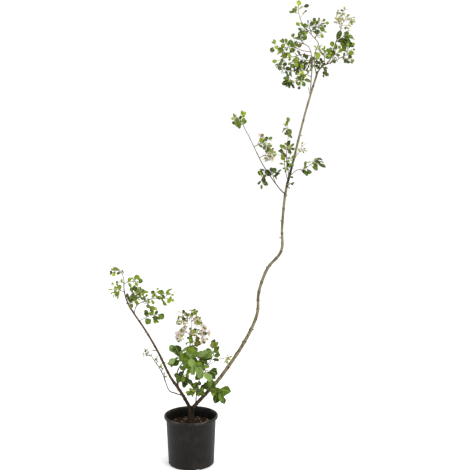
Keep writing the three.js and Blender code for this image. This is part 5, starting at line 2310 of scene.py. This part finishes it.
# Small sprigs on the bare wood, which the CAD leaves out
SPRIGS: dict[Region, tuple[Sprig, ...]] = {
    Region.CROWN: (
        Sprig("heart_sprig_upper", "crown_middle_bough", 0.9, (368, -36, 1318), 22, 15, 0.1, 1, 20, finer=2,
              more_leaves=6),
        Sprig("heart_sprig_lower", "crown_middle_bough", 0.75, (378, -34, 1290), 19, 14, 0.1, finer=1,
              more_leaves=3),
        Sprig("fork_sprig", "crown_right_bough", 0.12, (379, -30, 1212), 21, 13, 0.1, tint=Tint.DARK,
              finer=1, more_leaves=5),
        Sprig("low_inner_sprig", "crown_left_bough", 0.32, (326, -20, 1180), 21, 13, 0.3, 1, 18, finer=2,
              more_leaves=5),
    ),
    Region.MIDDLE: (
        Sprig("stem_sprig_upper", "long_stem", 0.815, (281, -18, 908), 14, 10, 0.1, arch=1, tint=Tint.DARK),
        Sprig("stem_sprig_middle", "long_stem", 0.795, (303, -16, 893), 13, 9, 0.2, arch=1, tint=Tint.DARK),
        Sprig("stem_sprig_lower", "long_stem", 0.765, (299, -14, 866), 13, 9, 0.2, arch=1, tint=Tint.DARK),
    ),
    Region.LEFT: (
        Sprig("round_leaf", "left_stem", 0.35, (-71, -27, 323), 21, 20, 0.6, arch=2, wide=0.95,
              tint=Tint.FRESH, more_leaves=0),
        Sprig("spur_leaves", "left_stem", 0.43, (-112, -34, 366), 8, 8, 0.5, arch=1, more_leaves=2),
        Sprig("thin_stem_sprig_low", "thin_stem", 0.66, (-82, 30, 274), 10, 7, 0.2, arch=1, more_leaves=3),
        Sprig("thin_stem_sprig_middle", "thin_stem", 0.76, (-92, 40, 300), 11, 7, 0.2, arch=1),
        Sprig("thin_stem_sprig_high", "thin_stem", 0.9, (-106, 42, 320), 11, 7, 0.2, arch=1),
        Sprig("arch_sprig_upper", "left_arch", 0.97, (-140, -80, 562), 16, 10, 0.2, 2, 15, arch=2,
              tint=Tint.FRESH, finer=2, more_leaves=6),
        Sprig("arch_sprig_lower", "left_arch", 0.9, (-108, -92, 513), 19, 13, 0.4, arch=1, tint=Tint.GREEN,
              finer=1, more_leaves=3),
    ),
    Region.FOOT: (
        Sprig("panicle_leaves", "flower_stem", 1, (16, -74, 408), 31, 12, 0.1, arch=1, wide=0.66,
              tint=Tint.OLIVE, more_leaves=5),
        Sprig("base_middle_leaves", "flower_stem", 0.86, (6, -94, 362), 42, 12, 0.2, arch=2, wide=0.66,
              hang=0.9, whorl=True, tries=16, tint=Tint.DEEP, more_leaves=5),
        Sprig("base_middle_low_leaves", "flower_stem", 0.66, (4, -84, 322), 34, 14, 0.3, arch=2, wide=0.7,
              hang=0.5, tries=14, tint=Tint.DEEP),
        Sprig("panicle_heart", "flower_stem", 1, (12, -86, 434), 13, 40, 0.5, 5, 19, lone=True, buds=8,
              blooms=2, finer=4, more_leaves=3, more_buds=16),
        Sprig("base_hanging_leaves", "flower_stem", 0.8, (22, -100, 338), 45, 12, 0.3, arch=2, wide=0.56,
              hang=1.1, whorl=True, tries=20, tint=Tint.DEEP),
        Sprig("base_round_leaves", "flower_stem", 0.74, (46, -86, 318), 42, 14, 0.4, arch=2, hang=0.5,
              tries=20, tint=Tint.DEEP, more_leaves=3),
        Sprig("base_foot_leaves", "low_right_stem", 0.25, (10, -80, 258), 24, 12, 0.3, 2, 18, tries=12,
              finer=3, more_leaves=10),
        Sprig("base_back_leaves", "flower_stem", 0.62, (18, -8, 350), 36, 14, 0.3, 1, 24, wide=0.66,
              hang=0.5, tries=14, tint=Tint.GREEN, finer=1, more_leaves=6),
    ),
}


# Studio


@dataclass(frozen=True)
class Studio:
    """The pale floor, the soft lights and the photograph's camera. Its lengths are in metres."""

    floor_half: float = 14.0
    world: float = 1.05
    image_side: int = 470  # pixels
    focal_pixels: float = 960.0
    sensor: float = 36.0
    camera_place: Point = (0.1349, -2.8216, 1.1569)
    look_down: float = 9.0  # degrees
    target: Point = (0.12, 0.0, 0.68)
    # Name, place, side and power of each lamp
    lamps: tuple[tuple[str, Point, float, float], ...] = (
        ("key", (2.4, -2.2, 2.6), 1.6, 84),
        ("fill", (-2.6, -2.0, 1.5), 2.2, 9),
        ("top", (0.0, 0.9, 3.2), 1.8, 26),
    )

    def build(self) -> None:
        """Builds all of it."""
        self.build_floor()
        self.build_world()
        for lamp in self.lamps:
            self.build_lamp(*lamp)
        self.build_camera()

    @staticmethod
    def add(name: str, data: bpy.types.ID) -> Piece:
        """Adds an object to the scene.

        Args:
            name: its name.
            data: its mesh, lamp or lens.

        Returns:
            The object.
        """
        made = bpy.data.objects.new(name, data)
        bpy.context.scene.collection.objects.link(made)
        return made

    def build_floor(self) -> None:
        """Lays the floor."""
        mesh = bpy.data.meshes.new("floor")
        h = self.floor_half
        mesh.from_pydata([(-h, -h, 0), (h, -h, 0), (h, h, 0), (-h, h, 0)], [], [(0, 1, 2, 3)])
        mesh.materials.append(bpy.data.materials["pale_floor"])
        self.add("floor", mesh)

    def build_world(self) -> None:
        """Makes the white surroundings."""
        world = bpy.data.worlds.new("white_room")
        world.use_nodes = True
        background = world.node_tree.nodes["Background"].inputs
        background["Color"].default_value = (1, 1, 1, 1)
        background["Strength"].default_value = self.world
        bpy.context.scene.world = world
        bpy.context.scene.view_settings.view_transform = "Standard"

    def build_lamp(self, name: str, place: Point, side: float, power: float) -> None:
        """Adds one soft lamp that looks at the plant.

        Args:
            name: its name.
            place: where it hangs.
            side: the side of its square.
            power: in watts.
        """
        lamp = bpy.data.lights.new(name, "AREA")
        lamp.shape = "SQUARE"
        lamp.size = side
        lamp.energy = power
        holder = self.add(name, lamp)
        holder.location = place
        way = Vector(self.target) - Vector(place)
        holder.rotation_euler = way.to_track_quat("-Z", "Y").to_euler()

    def build_camera(self) -> None:
        """Places the camera as the photograph's."""
        lens = bpy.data.cameras.new("camera")
        lens.sensor_width = self.sensor
        lens.lens = self.sensor * self.focal_pixels / self.image_side
        camera = self.add("camera", lens)
        camera.location = self.camera_place
        camera.rotation_euler = (math.radians(90 - self.look_down), 0, 0)
        bpy.context.scene.camera = camera


def grow_masses() -> list[Mass]:
    """Grows every mass in the CAD source's order, then the finer growth of each, then the sprigs.

    Returns:
        The masses.
    """
    space = Space({limb.name: limb for limb in LIMBS})
    masses: list[Mass] = []
    for region, habits in HABITS.items():
        for habit in habits:
            masses.append(Mass(habit, len(masses) + 1, region, space))
    for mass in masses:
        mass.grow()
    grown = sum(len(mass.blades) for mass in masses)
    for mass in masses:
        mass.grow_finer()
    for region, habits in SPRIGS.items():
        for habit in habits:
            masses.append(Mass(habit, len(masses) + 1, region, space))
            masses[-1].grow()
            masses[-1].grow_finer()
    LOG.info("%d leaves as in the CAD, %d in all", grown, sum(len(mass.blades) for mass in masses))
    return masses


def main() -> None:
    """Builds the studio, then the plant from the pot up."""
    logging.basicConfig(level=logging.INFO, format="%(message)s")
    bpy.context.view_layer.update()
    for name, finish in FINISHES.items():
        finish.make(name)
    Studio().build()

    pot = Pot()
    pot.build()
    filling = PottingMix(pot)
    filling.build_filling()
    filling.build_chips()
    Trunk().build()
    for limb in LIMBS:
        BarkForm().build(limb)
    masses = grow_masses()
    for region in Region:
        Foliage(region, [mass for mass in masses if mass.region is region]).build()


if __name__ == "__main__":
    main()
